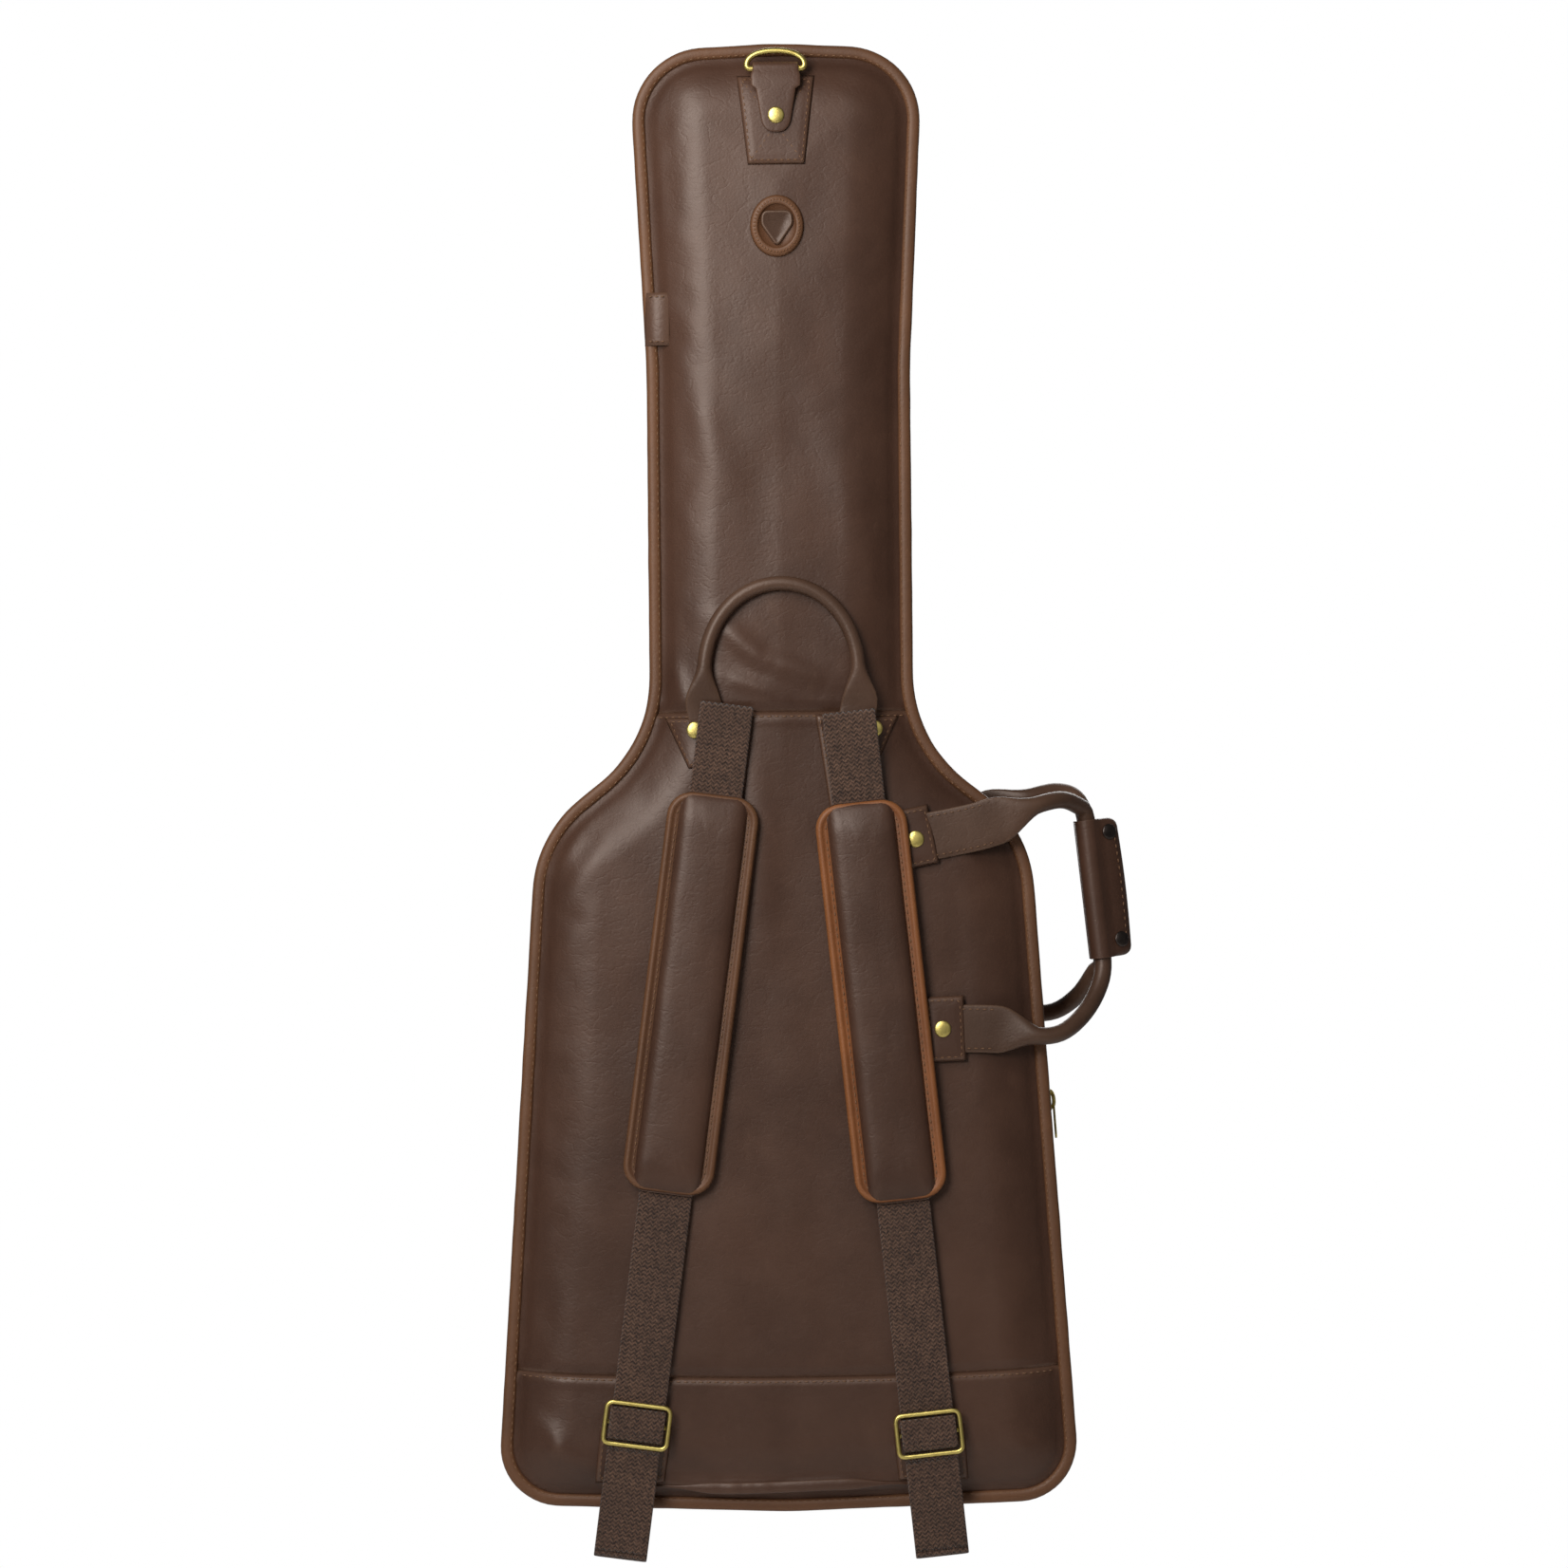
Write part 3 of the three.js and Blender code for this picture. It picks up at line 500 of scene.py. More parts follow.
def curve_through(points: Sequence[Sequence[float]], step: float) -> list[Vector]:
    """A smooth path through chosen points (Catmull-Rom), evenly resampled."""
    knots = [Vector(p) for p in points]
    knots = [knots[0] * 2 - knots[1], *knots, knots[-1] * 2 - knots[-2]]
    dense = []
    for a, b, c, d in zip(knots, knots[1:], knots[2:], knots[3:]):
        for share in np.linspace(0.0, 1.0, 12, endpoint=False):
            dense.append(0.5 * (2 * b + (c - a) * share + (2 * a - 5 * b + 4 * c - d) * share ** 2
                                + (3 * b - a - 3 * c + d) * share ** 3))
    dense.append(knots[-2])
    return [Vector(p) for p in resample(np.array([tuple(p) for p in dense]), step, False)]


def superellipse(half_wide: float, half_thick: float, power: float, count: int) -> list[tuple]:
    """A rounded section, from a circle (power 2) to a flat strap (power 6)."""
    section = []
    for index in range(count):
        angle = 2 * math.pi * index / count
        c, s = math.cos(angle), math.sin(angle)
        section.append((half_wide * math.copysign(abs(c) ** (2 / power), c),
                        half_thick * math.copysign(abs(s) ** (2 / power), s)))
    return section


@dataclass
class Strip:
    """A strap or roll swept along a path, its section changing on the way."""

    path: list[Vector]
    wide: Callable[[float], float]
    thick: Callable[[float], float]
    power: Callable[[float], float]
    depth_axis: Vector = field(default_factory=lambda: Y_AXIS.copy())
    sides: int = 16
    closed: bool = False
    width_axis: Vector | None = None

    def frames(self) -> list[tuple[Vector, Vector, Vector]]:
        """Returns centre, width direction and thickness direction at each point."""
        found = []
        count = len(self.path)
        for i, here in enumerate(self.path):
            before = self.path[i - 1] if self.closed or i else here
            after = self.path[(i + 1) % count] if self.closed or i < count - 1 else here
            along = (after - before).normalized()
            if self.width_axis is None:
                width = self.depth_axis.cross(along).normalized()
                found.append((here, width, along.cross(width)))
            else:
                depth = along.cross(self.width_axis).normalized()
                found.append((here, self.width_axis, depth))
        return found

    def build(self, bm: bmesh.types.BMesh) -> None:
        """Adds the strip to a mesh."""
        rings = []
        count = len(self.path)
        for i, (here, width, depth) in enumerate(self.frames()):
            share = i / (count - 1)
            section = superellipse(self.wide(share), self.thick(share), self.power(share),
                                   self.sides)
            rings.append([here + width * u + depth * v for u, v in section])
        across = [u for u, _ in superellipse(self.wide(0.5), self.thick(0.5), self.power(0.5),
                                             self.sides)]
        loft(bm, rings, closed=self.closed, across=across)


def steady(value: float) -> Callable[[float], float]:
    """A size that stays the same along a strip."""
    return lambda share: value


def lathe(bm: bmesh.types.BMesh, profile: Sequence[tuple[float, float]], place: Matrix,
          steps: int = 24) -> None:
    """Spins a profile of (radius, height) about the local Z axis, then places it."""
    fresh = bmesh.new()
    verts = [fresh.verts.new((r, 0.0, h)) for r, h in profile]
    edges = [fresh.edges.new(pair) for pair in zip(verts, verts[1:])]
    bmesh.ops.spin(fresh, geom=verts + edges, cent=(0, 0, 0), axis=(0, 0, 1),
                   angle=2 * math.pi, steps=steps, use_merge=True)
    bmesh.ops.remove_doubles(fresh, verts=fresh.verts, dist=1e-6)
    bmesh.ops.recalc_face_normals(fresh, faces=fresh.faces)
    bmesh.ops.transform(fresh, matrix=place, verts=fresh.verts)
    append(bm, fresh)


def append(bm: bmesh.types.BMesh, other: bmesh.types.BMesh) -> None:
    """Adds another mesh's geometry and frees it."""
    mesh = bpy.data.meshes.new("part")
    other.to_mesh(mesh)
    other.free()
    bm.from_mesh(mesh)
    bpy.data.meshes.remove(mesh)


def block(bm: bmesh.types.BMesh, size: tuple[float, float, float], place: Matrix,
          edge: float = 0.0005, segments: int = 2) -> None:
    """Adds a box with rounded edges."""
    fresh = bmesh.new()
    bmesh.ops.create_cube(fresh, size=1.0)
    bmesh.ops.scale(fresh, vec=size, verts=fresh.verts)
    if edge:
        bmesh.ops.bevel(fresh, geom=fresh.edges[:], offset=edge, affect="EDGES",
                        segments=segments, profile=0.5, material=-1)
    bmesh.ops.transform(fresh, matrix=place, verts=fresh.verts)
    append(bm, fresh)


def facing(place: Vector, outward: Vector, along: Vector) -> Matrix:
    """A placement whose Z is outward and whose X follows a direction."""
    z = outward.normalized()
    x = (along - z * along.dot(z)).normalized()
    y = z.cross(x)
    return Matrix.Translation(place) @ Matrix((x, y, z)).transposed().to_4x4()


@dataclass(frozen=True)
class Stitch:
    """One stitch's length, width and pitch."""

    length: float = 0.0042
    width: float = 0.0011
    pitch: float = 0.0062

    def sew(self, bm: bmesh.types.BMesh, line: Points, outward: Callable[[Vector], Vector],
            closed: bool = False) -> None:
        """Lays stitches along a line.

        Args:
            bm: the mesh to add to.
            line: points on the surface.
            outward: the surface's direction at a point.
            closed: whether the line is a loop.
        """
        marks = resample(np.array([tuple(p) for p in line]), self.pitch / 2, closed)
        points = [Vector(p) for p in marks]
        shape = Matrix.Diagonal((self.length / 2, self.width / 2, self.width / 2.4, 1.0))
        for before, here, after in zip(points[0::2], points[1::2], points[2::2]):
            place = facing(here, outward(here), after - before)
            bmesh.ops.create_icosphere(bm, subdivisions=1, radius=1.0, matrix=place @ shape)

    def row(self, name: str, line: Sequence[Vector], outward: Callable[[Vector], Vector],
            body: str, closed: bool = False, finish: Finish = Finish.THREAD) -> None:
        """Makes one line of stitches as a piece of its own."""
        threads = bmesh.new()
        self.sew(threads, line, outward, closed)
        place_piece(name, threads, finish, body)


# ---- the bag's outline -------------------------------------------------------------------
@dataclass(frozen=True)
class Corner:
    """A corner of an outline and the radius that rounds it."""

    x: float
    z: float
    radius: float


def rounded(corners: Sequence[Corner], inset: float = 0.0, step: float = 0.004) -> np.ndarray:
    """A clockwise polygon moved inwards, its corners rounded, as dense points."""
    tips = [Vector((c.x, c.z)) for c in corners]
    count = len(tips)
    edges = []
    for i in range(count):
        along = (tips[(i + 1) % count] - tips[i]).normalized()
        inward = Vector((along.y, -along.x))
        edges.append((tips[i] + inward * inset, along))
    points = []
    for i, corner in enumerate(corners):
        (start, before), (end, after) = edges[i - 1], edges[i]
        cross = before.x * after.y - before.y * after.x
        reach = ((end - start).x * after.y - (end - start).y * after.x) / cross
        tip = start + before * reach
        turn = math.atan2(cross, before.dot(after))
        sign = math.copysign(1.0, turn)
        radius = max(corner.radius + sign * inset, 0.0005)
        first = tip - before * radius * math.tan(abs(turn) / 2)
        centre = first + Vector((-before.y, before.x)) * sign * radius
        steps = max(2, int(abs(turn) * radius / step))
        for k in range(steps + 1):
            angle = turn * k / steps
            arm = first - centre
            swung = Vector((arm.x * math.cos(angle) - arm.y * math.sin(angle),
                            arm.x * math.sin(angle) + arm.y * math.cos(angle)))
            points.append(centre + swung)
    return resample(np.array([tuple(p) for p in points]), step, True)


def box_corners(half: float, top: float, bottom: float, radius: float) -> list[Corner]:
    """The corners of a rounded rectangle."""
    return [Corner(-half, top, radius), Corner(half, top, radius),
            Corner(half, bottom, radius), Corner(-half, bottom, radius)]


@dataclass(frozen=True)
class Outline:
    """The bag's outline, symmetric about its centreline."""

    length: float = 1.050
    head_half: float = 0.103
    neck_half: float = 0.092
    shoulder_half: float = 0.175
    bottom_half: float = 0.207
    taper_z: float = -0.230
    neck_end_z: float = -0.500
    shoulder_z: float = -0.566
    top_bow: float = 0.005
    bottom_bow: float = 0.007

    def corners(self) -> list[Corner]:
        """Returns the outline's corners, clockwise from the top centre."""
        half = [Corner(self.head_half, -self.top_bow, 0.050),
                Corner(self.neck_half, self.taper_z, 0.260),
                Corner(self.neck_half, self.neck_end_z, 0.100),
                Corner(self.shoulder_half, self.shoulder_z, 0.088),
                Corner(self.bottom_half, -self.length + self.bottom_bow, 0.040)]
        mirrored = [Corner(-c.x, c.z, c.radius) for c in reversed(half)]
        return [Corner(0.0, 0.0, 0.300), *half, Corner(0.0, -self.length, 0.300), *mirrored]

    def loop(self, inset: float = 0.0, step: float = 0.005) -> np.ndarray:
        """Returns dense points of the outline moved inwards."""
        return rounded(self.corners(), inset, step)

    def side_x(self, z: float) -> float:
        """Returns the half width of the straight side at a height."""
        share = (z - self.shoulder_z) / (-self.length + self.bottom_bow - self.shoulder_z)
        return self.shoulder_half + (self.bottom_half - self.shoulder_half) * share

    def insets(self, spots: np.ndarray) -> np.ndarray:
        """Returns each (x, z) spot's distance inside the outline, negative outside it."""
        loop = self.loop(step=0.006)
        ahead = np.roll(loop, -1, axis=0)
        nearest = np.full(len(spots), np.inf)
        inside = np.zeros(len(spots), bool)
        for (ax, az), (bx, bz) in zip(loop, ahead):
            span = np.array([bx - ax, bz - az])
            offset = spots - (ax, az)
            share = np.clip(offset @ span / (span @ span), 0.0, 1.0)
            gap = offset - share[:, None] * span
            nearest = np.minimum(nearest, (gap ** 2).sum(axis=1))
            crosses = (az > spots[:, 1]) != (bz > spots[:, 1])
            if abs(bz - az) > 1e-9:
                inside ^= crosses & (spots[:, 0] < ax + (spots[:, 1] - az) * span[0] / span[1])
        return np.where(inside, 1.0, -1.0) * np.sqrt(nearest)

    def band(self, section: Sequence[tuple[float, float]], side: float,
             keep: Callable[[Vector], bool] | None = None,
             step: float = 0.006) -> tuple[list[list[Vector]], bool]:
        """Rings that carry a section of (inset, depth) round the outline.

        Args:
            section: points of the section.
            side: -1 for the back half, 1 for the front half.
            keep: keeps only the stretch of outline points that it accepts.
            step: spacing along the outline.

        Returns:
            The rings, and whether they close.
        """
        loop = self.loop(0.0, step)
        normals = []
        for i in range(len(loop)):
            along = loop[(i + 1) % len(loop)] - loop[i - 1]
            along /= np.linalg.norm(along)
            normals.append((along[1], -along[0]))
        order = list(range(len(loop)))
        if keep is not None:
            kept = [keep(Vector((x, 0.0, z))) for x, z in loop]
            first = next(i for i in order if kept[i] and not kept[i - 1])
            order = [i % len(loop) for i in range(first, first + len(loop))]
            order = order[:next(n for n, i in enumerate(order) if not kept[i])]
        rings = [[Vector((loop[i][0] + normals[i][0] * inset, side * depth,
                          loop[i][1] + normals[i][1] * inset)) for inset, depth in section]
                 for i in order]
        return rings, keep is None


OUTLINE = Outline()


@dataclass(frozen=True)
class Fold:
    """A soft ridge in a panel, along a line between two (x, z) points."""

    start: tuple[float, float]
    end: tuple[float, float]
    width: float
    height: float

    def lift(self, spots: np.ndarray) -> np.ndarray:
        """Returns how far the fold lifts each spot."""
        a, b = np.array(self.start), np.array(self.end)
        span = b - a
        share = np.clip((spots - a) @ span / (span @ span), 0.0, 1.0)
        away = np.linalg.norm(spots - a - share[:, None] * span, axis=1)
        fade = np.sin(np.pi * np.clip(share, 0.04, 0.96)) ** 0.6
        return self.height * fade * np.exp(-(away / self.width) ** 2)


BACK_FOLDS = [
    Fold((-0.176, -0.600), (-0.142, -0.560), 0.008, 0.0022),
    Fold((-0.182, -0.640), (-0.128, -0.572), 0.010, 0.0018),
    Fold((-0.180, -0.700), (-0.150, -0.620), 0.012, 0.0016),
    Fold((-0.046, -0.412), (-0.006, -0.448), 0.008, 0.0034),
    Fold((-0.014, -0.436), (0.034, -0.458), 0.008, 0.0030),
    Fold((-0.040, -0.452), (0.000, -0.466), 0.006, 0.0022),
    Fold((0.040, -0.405), (0.078, -0.452), 0.009, 0.0020),
    Fold((-0.078, -0.440), (-0.070, -0.474), 0.006, 0.0020),
    Fold((-0.112, -1.0300), (-0.020, -1.0340), 0.006, 0.0050),
    Fold((-0.040, -1.0345), (0.095, -1.0315), 0.006, 0.0056),
    Fold((-0.178, -1.004), (-0.120, -1.026), 0.010, 0.0034),
    Fold((-0.186, -0.980), (-0.160, -1.006), 0.009, 0.0024),
    Fold((0.110, -0.560), (0.150, -0.604), 0.007, 0.0018),
    Fold((-0.070, -0.230), (-0.030, -0.330), 0.014, 0.0012),
    Fold((0.030, -0.260), (0.066, -0.380), 0.014, 0.0012),
    Fold((-0.020, -0.500), (-0.014, -0.640), 0.013, 0.0016),
    Fold((-0.128, -0.700), (-0.140, -0.900), 0.016, 0.0014),
]
FRONT_FOLDS = [
    Fold((-0.150, -0.590), (-0.110, -0.650), 0.008, 0.0016),
    Fold((0.150, -0.590), (0.112, -0.656), 0.008, 0.0016),
    Fold((-0.060, -0.470), (0.050, -0.490), 0.010, 0.0016),
    Fold((-0.120, -1.022), (0.120, -1.026), 0.008, 0.0020),
]


@dataclass
class PaddedHalf:
    """One padded half of the bag: leather panels over foam, binding, side wall and zip."""

    name: str
    body: str
    side: float
    folds: list[Fold]
    rim: float = 0.025
    dome: float = 0.020
    dome_inset: float = 0.050
    crown: float = 0.0018
    padding_stops: tuple[float, ...] = (0.0, 0.0083, 0.0162, 0.0270, 0.0450)
    skin: float = 0.0019
    seam_dip: float = 0.0022
    trim_inset: float = 0.0008
    sheet_thickness: float = 0.0016
    seams: tuple[float, ...] = (-0.478, -0.951)

    def height(self, spots: np.ndarray) -> np.ndarray:
        """Returns how far the leather stands from the zip plane at each (x, z) spot."""
        inset = OUTLINE.insets(spots)
        share = np.clip(inset / self.dome_inset, 0.0, 1.0)
        height = self.rim + self.dome * np.sin(share * np.pi / 2)
        height += self.crown * np.clip((inset - self.dome_inset) / 0.06, 0.0, 1.0)
        height -= 0.0016 * np.exp(-((inset - 0.0100) / 0.0022) ** 2)
        for fold in self.folds:
            height += fold.lift(spots)
        soft = [noise.noise(Vector((x * 11, self.side, z * 8))) * 0.0012
                + noise.noise(Vector((x * 34, self.side * 3, z * 22))) * 0.0005
                for x, z in spots]
        ripple = [noise.noise(Vector((x * 55, 5.0, z * 55))) for x, z in spots]
        rim_zone = np.exp(-((inset - 0.024) / 0.012) ** 2)
        height += np.array(soft) * np.clip(inset / 0.02, 0, 1)
        height += np.array(ripple) * rim_zone * 0.0007
        for seam in self.seams:
            above = spots[:, 1] - self.seam_z(seam, spots)
            height -= self.seam_dip * np.exp(-((above - 0.0015) / 0.0028) ** 2)
            height += 0.0007 * np.exp(-((above + 0.0060) / 0.0030) ** 2)
        return np.maximum(height, self.padding(inset) - self.skin)

    def padding(self, inset: np.ndarray) -> np.ndarray:
        """Returns the padding's own height at each inset; the leather never sinks into it."""
        stops = np.array(self.padding_stops)
        rises = self.dome * np.sin(stops / stops[-1] * np.pi / 2)
        return self.rim + np.interp(inset, stops, rises)

    def seam_z(self, seam: float, spots: np.ndarray) -> np.ndarray:
        """Returns a seam's height at each spot: the lower one bows down a little."""
        if seam > -0.9:
            return np.full(len(spots), seam)
        return seam - 0.004 + 0.006 * (spots[:, 0] / 0.2) ** 2

    def on(self, x: float, z: float, lift: float = 0.0) -> Vector:
        """Returns a point on the leather, lifted off it."""
        return Vector((x, self.side * (self.height(np.array([[x, z]]))[0] + lift), z))

    def line(self, spots: Sequence[tuple[float, float]], lift: float,
             step: float = 0.004) -> list[Vector]:
        """Returns a line on the leather through (x, z) spots."""
        dense = resample(np.array(spots), step, False)
        heights = self.height(dense) + lift
        return [Vector((x, self.side * h, z)) for (x, z), h in zip(dense, heights)]

    def outward(self, place: Vector) -> Vector:
        """Returns the panel's facing direction."""
        return Vector((0.0, self.side, 0.0))

    def edge_z(self, z: float, spots: np.ndarray) -> np.ndarray:
        """Returns a panel edge's height at each spot: a seam's, or a level line's."""
        return self.seam_z(z, spots) if z in self.seams else np.full(len(spots), z)

    def sheet(self, low: float, high: float, cell: float) -> bmesh.types.BMesh:
        """Returns a fine sheet of leather between two seams, trimmed under the binding."""
        reach = OUTLINE.bottom_half
        columns = int(2 * reach / cell)
        middle = np.zeros((1, 2))
        rows = max(8, int((self.edge_z(high, middle)[0] - self.edge_z(low, middle)[0]) / cell))
        bm = bmesh.new()
        bmesh.ops.create_grid(bm, x_segments=columns, y_segments=rows, size=1.0)
        flat = np.array([tuple(v.co) for v in bm.verts])
        spots = np.stack([flat[:, 0] * reach, np.zeros(len(flat))], axis=1)
        share = (flat[:, 1] + 1) / 2
        spots[:, 1] = self.edge_z(low, spots) * (1 - share) + self.edge_z(high, spots) * share
        inset = OUTLINE.insets(spots)
        heights = self.height(spots)
        for vert, (x, z), h in zip(bm.verts, spots, heights):
            vert.co = (x, self.side * h, z)
        outside = [v for v, d in zip(bm.verts, inset) if d < self.trim_inset]
        bmesh.ops.delete(bm, geom=outside, context="VERTS")
        facing_out = sum(f.normal.y for f in bm.faces) * self.side
        if facing_out < 0:
            bmesh.ops.reverse_faces(bm, faces=bm.faces)
        return bm

    def build_panels(self, spans: dict[str, tuple[float, float]], cell: float) -> None:
        """Makes the leather panels between their seams.

        Args:
            spans: each CAD panel's lower and upper height.
            cell: size of the sheet's cells.
        """
        for node, (low, high) in spans.items():
            panel = place_piece(f"{node}_leather", self.sheet(low, high, cell), Finish.PANEL,
                                self.body, [node], turn=False, thickness=self.sheet_thickness)

    def build_bottom_fold(self) -> None:
        """Lays the loose, wavy fold of leather that hangs over the bottom binding."""
        xs = np.linspace(-0.122, 0.112, 79)
        line = [self.on(x, -1.0335 + 0.0012 * math.sin(x * 34.0) + 0.0016 * (x / 0.11) ** 2, 0.0010)
                for x in xs]
        bm = bmesh.new()
        Strip(line, swell((0.16, 0.30), 0.0010, 0.0010, 0.0042),
              swell((0.16, 0.30), 0.0004, 0.0004, 0.0019), steady(2.4), sides=12).build(bm)
        place_piece(f"{self.name}_bottom_fold", bm, Finish.PANEL, self.body)

    def sew_seams(self) -> None:
        """Lays a row of stitches just below each seam."""
        threads = bmesh.new()
        for seam, below in zip(self.seams, (0.0032, 0.0030)):
            xs = np.arange(-0.215, 0.2151, 0.003)
            spots = np.stack([xs, np.zeros(len(xs))], axis=1)
            spots[:, 1] = self.seam_z(seam, spots) - below
            spots = spots[OUTLINE.insets(spots) > 0.007]
            line = self.line([tuple(spot) for spot in spots], 0.0003)
            Stitch(0.0038, 0.0009, 0.0054).sew(threads, line, self.outward)
        place_piece(f"{self.name}_seam_stitches", threads, Finish.THREAD, self.body)

    def build_edges(self) -> None:
        """Makes the binding with its stitches, the side wall and the zip's tape and teeth."""
        section = [(0.0018 + u, 0.0274 + v) for u, v in superellipse(0.0046, 0.0038, 2.6, 14)]
        bm = bmesh.new()
        rings, closed = OUTLINE.band(section, self.side, step=0.005)
        for index, ring in enumerate(rings):
            centre = sum(ring, Vector()) / len(ring)
            swell = 1.0 + 0.05 * noise.noise(centre * 60)
            rings[index] = [centre + (point - centre) * swell for point in ring]
        loft(bm, rings, closed=closed, across=[u for u, _ in section])
        place_piece(f"{self.name}_binding_leather", bm, Finish.TRIM, self.body,
                    [f"{self.name}_binding"])
        seam = [ring[0] for ring in OUTLINE.band([(0.0047, 0.0306)], self.side, step=0.003)[0]]
        Stitch(0.0036, 0.0009, 0.0054).row(f"{self.name}_binding_stitches", seam, self.outward,
                                           self.body, closed=True)
        self.build_side_wall()
        self.build_zip()

    def build_side_wall(self) -> None:
        """Makes the side wall between the binding and the zip, and its top stitching."""
        section = [(0.0006, 0.0250), (-0.0004, 0.0215), (-0.0010, 0.0170), (-0.0009, 0.0125),
                   (-0.0002, 0.0090), (0.0006, 0.0073), (0.0022, 0.0071), (0.0024, 0.0160),
                   (0.0024, 0.0250)]
        bm = bmesh.new()
        rings, closed = OUTLINE.band(section, self.side)
        loft(bm, rings, closed=closed, across=[depth for _, depth in section])
        place_piece(f"{self.name}_side_leather", bm, Finish.PANEL, self.body,
                    [f"{self.name}_side_wall"])
        seam = [ring[0] for ring in OUTLINE.band([(-0.0006, 0.0098)], self.side, step=0.003)[0]]
        middle = Vector((0.0, 0.0, -OUTLINE.length / 2))

        def away(place: Vector) -> Vector:
            return Vector((place.x - middle.x, 0.0, (place.z - middle.z) * 0.25))

        Stitch(0.0036, 0.0009, 0.0058).row(f"{self.name}_side_stitches", seam, away, self.body,
                                           closed=True, finish=Finish.DARK_THREAD)

    def build_zip(self) -> None:
        """Makes this half's zip tape and teeth, all round but for the spine."""
        def zipped(place: Vector) -> bool:
            low, high = -OUTLINE.length + 0.047, OUTLINE.shoulder_z - 0.045
            return not (place.x < 0 and low < place.z < high)

        section = [(0.0008, 0.0074), (0.0008, 0.0016), (0.0020, 0.0016), (0.0020, 0.0074)]
        bm = bmesh.new()
        rings, _ = OUTLINE.band(section, self.side, zipped)
        loft(bm, rings, across=[depth for _, depth in section])
        place_piece(f"{self.name}_zip_cloth", bm, Finish.TAPE, self.body,
                    [f"{self.name}_zip_tape"])
        if self.side < 0:
            guard = [(0.0019, 0.0072), (0.0026, 0.0040), (0.0028, -0.0040), (0.0034, -0.0040),
                     (0.0034, 0.0072)]
            flap = bmesh.new()
            loft(flap, OUTLINE.band(guard, self.side, zipped)[0],
                 across=[depth for _, depth in guard])
            place_piece("zip_guard_cloth", flap, Finish.TAPE, self.body)
        teeth = bmesh.new()
        spots, _ = OUTLINE.band([(0.0004, 0.0017)], self.side, zipped, step=0.0040)
        shift = 0 if self.side < 0 else 1
        line = [ring[0] for ring in spots]
        for before, here, after in zip(line, line[1:], line[2:]):
            along = after - before
            outward = Vector((-along.z, 0.0, along.x))
            place = facing(here + along * 0.25 * shift, outward, along)
            block(teeth, (0.0017, 0.0030, 0.0018), place, edge=0.0)
        place_piece(f"{self.name}_zip_teeth", teeth, Finish.SNAP, self.body)


# ---- pieces on the leather ---------------------------------------------------------------
@dataclass
class Patch:
    """A stitched leather patch with four straight sides, lying on a padded half."""

    name: str
    half: PaddedHalf
    corners: tuple[tuple[float, float], ...]
    replaces: tuple[str, ...]
    finish: Finish = Finish.TRIM
    thickness: float = 0.0022
    lift: float = 0.0004
    margin: float = 0.0032
    cross: bool = False

    def spot(self, u: float, v: float) -> tuple[float, float]:
        """Returns the (x, z) place at shares across and down the patch."""
        (ax, az), (bx, bz), (cx, cz), (dx, dz) = self.corners
        top = (ax + (bx - ax) * u, az + (bz - az) * u)
        bottom = (dx + (cx - dx) * u, dz + (cz - dz) * u)
        return top[0] + (bottom[0] - top[0]) * v, top[1] + (bottom[1] - top[1]) * v

    def build(self, cell: float = 0.002) -> None:
        """Makes the patch and its stitches."""
        (ax, az), (bx, bz), _, (dx, dz) = self.corners
        wide = math.hypot(bx - ax, bz - az)
        tall = math.hypot(dx - ax, dz - az)
        bm = bmesh.new()
        bmesh.ops.create_grid(bm, x_segments=max(6, int(wide / cell)),
                              y_segments=max(6, int(tall / cell)), size=1.0)
        flat = np.array([tuple(v.co) for v in bm.verts])
        shares = (flat[:, :2] + 1) / 2
        spots = np.array([self.spot(u, 1 - v) for u, v in shares])
        edge = np.minimum.reduce([shares[:, 0] * wide, (1 - shares[:, 0]) * wide,
                                  shares[:, 1] * tall, (1 - shares[:, 1]) * tall])
        rise = np.clip(edge / 0.0018, 0.0, 1.0)
        plump = self.thickness * np.sqrt(1 - (1 - rise) ** 2) + 0.0004 * np.clip(edge / 0.008, 0, 1)
        groove = 0.0005 * np.exp(-((edge - self.margin) / 0.0008) ** 2)
        heights = self.half.height(spots) + self.lift + plump - groove
        for vert, (x, z), h in zip(bm.verts, spots, heights):
            vert.co = (x, self.half.side * h, z)
        if sum(f.normal.y for f in bm.faces) * self.half.side < 0:
            bmesh.ops.reverse_faces(bm, faces=bm.faces)
        place_piece(f"{self.name}_leather", bm, self.finish, self.half.body,
                    list(self.replaces), turn=False, thickness=0.0012)
        self.sew(wide, tall)

    def sew(self, wide: float, tall: float) -> None:
        """Stitches the patch round its edge, and crosswise if asked."""
        u, v = self.margin / wide, self.margin / tall
        ring = [self.spot(a, b) for a, b in
                ((u, v), (1 - u, v), (1 - u, 1 - v), (u, 1 - v), (u, v))]
        lines = [ring]
        if self.cross:
            lines += [[ring[0], ring[2]], [ring[1], ring[3]]]
        threads = bmesh.new()
        for line in lines:
            path = self.half.line(line, self.lift + self.thickness + 0.0002)
            Stitch(0.0032, 0.0009, 0.0048).sew(threads, path, self.half.outward)
        place_piece(f"{self.name}_stitches", threads, Finish.THREAD, self.half.body)


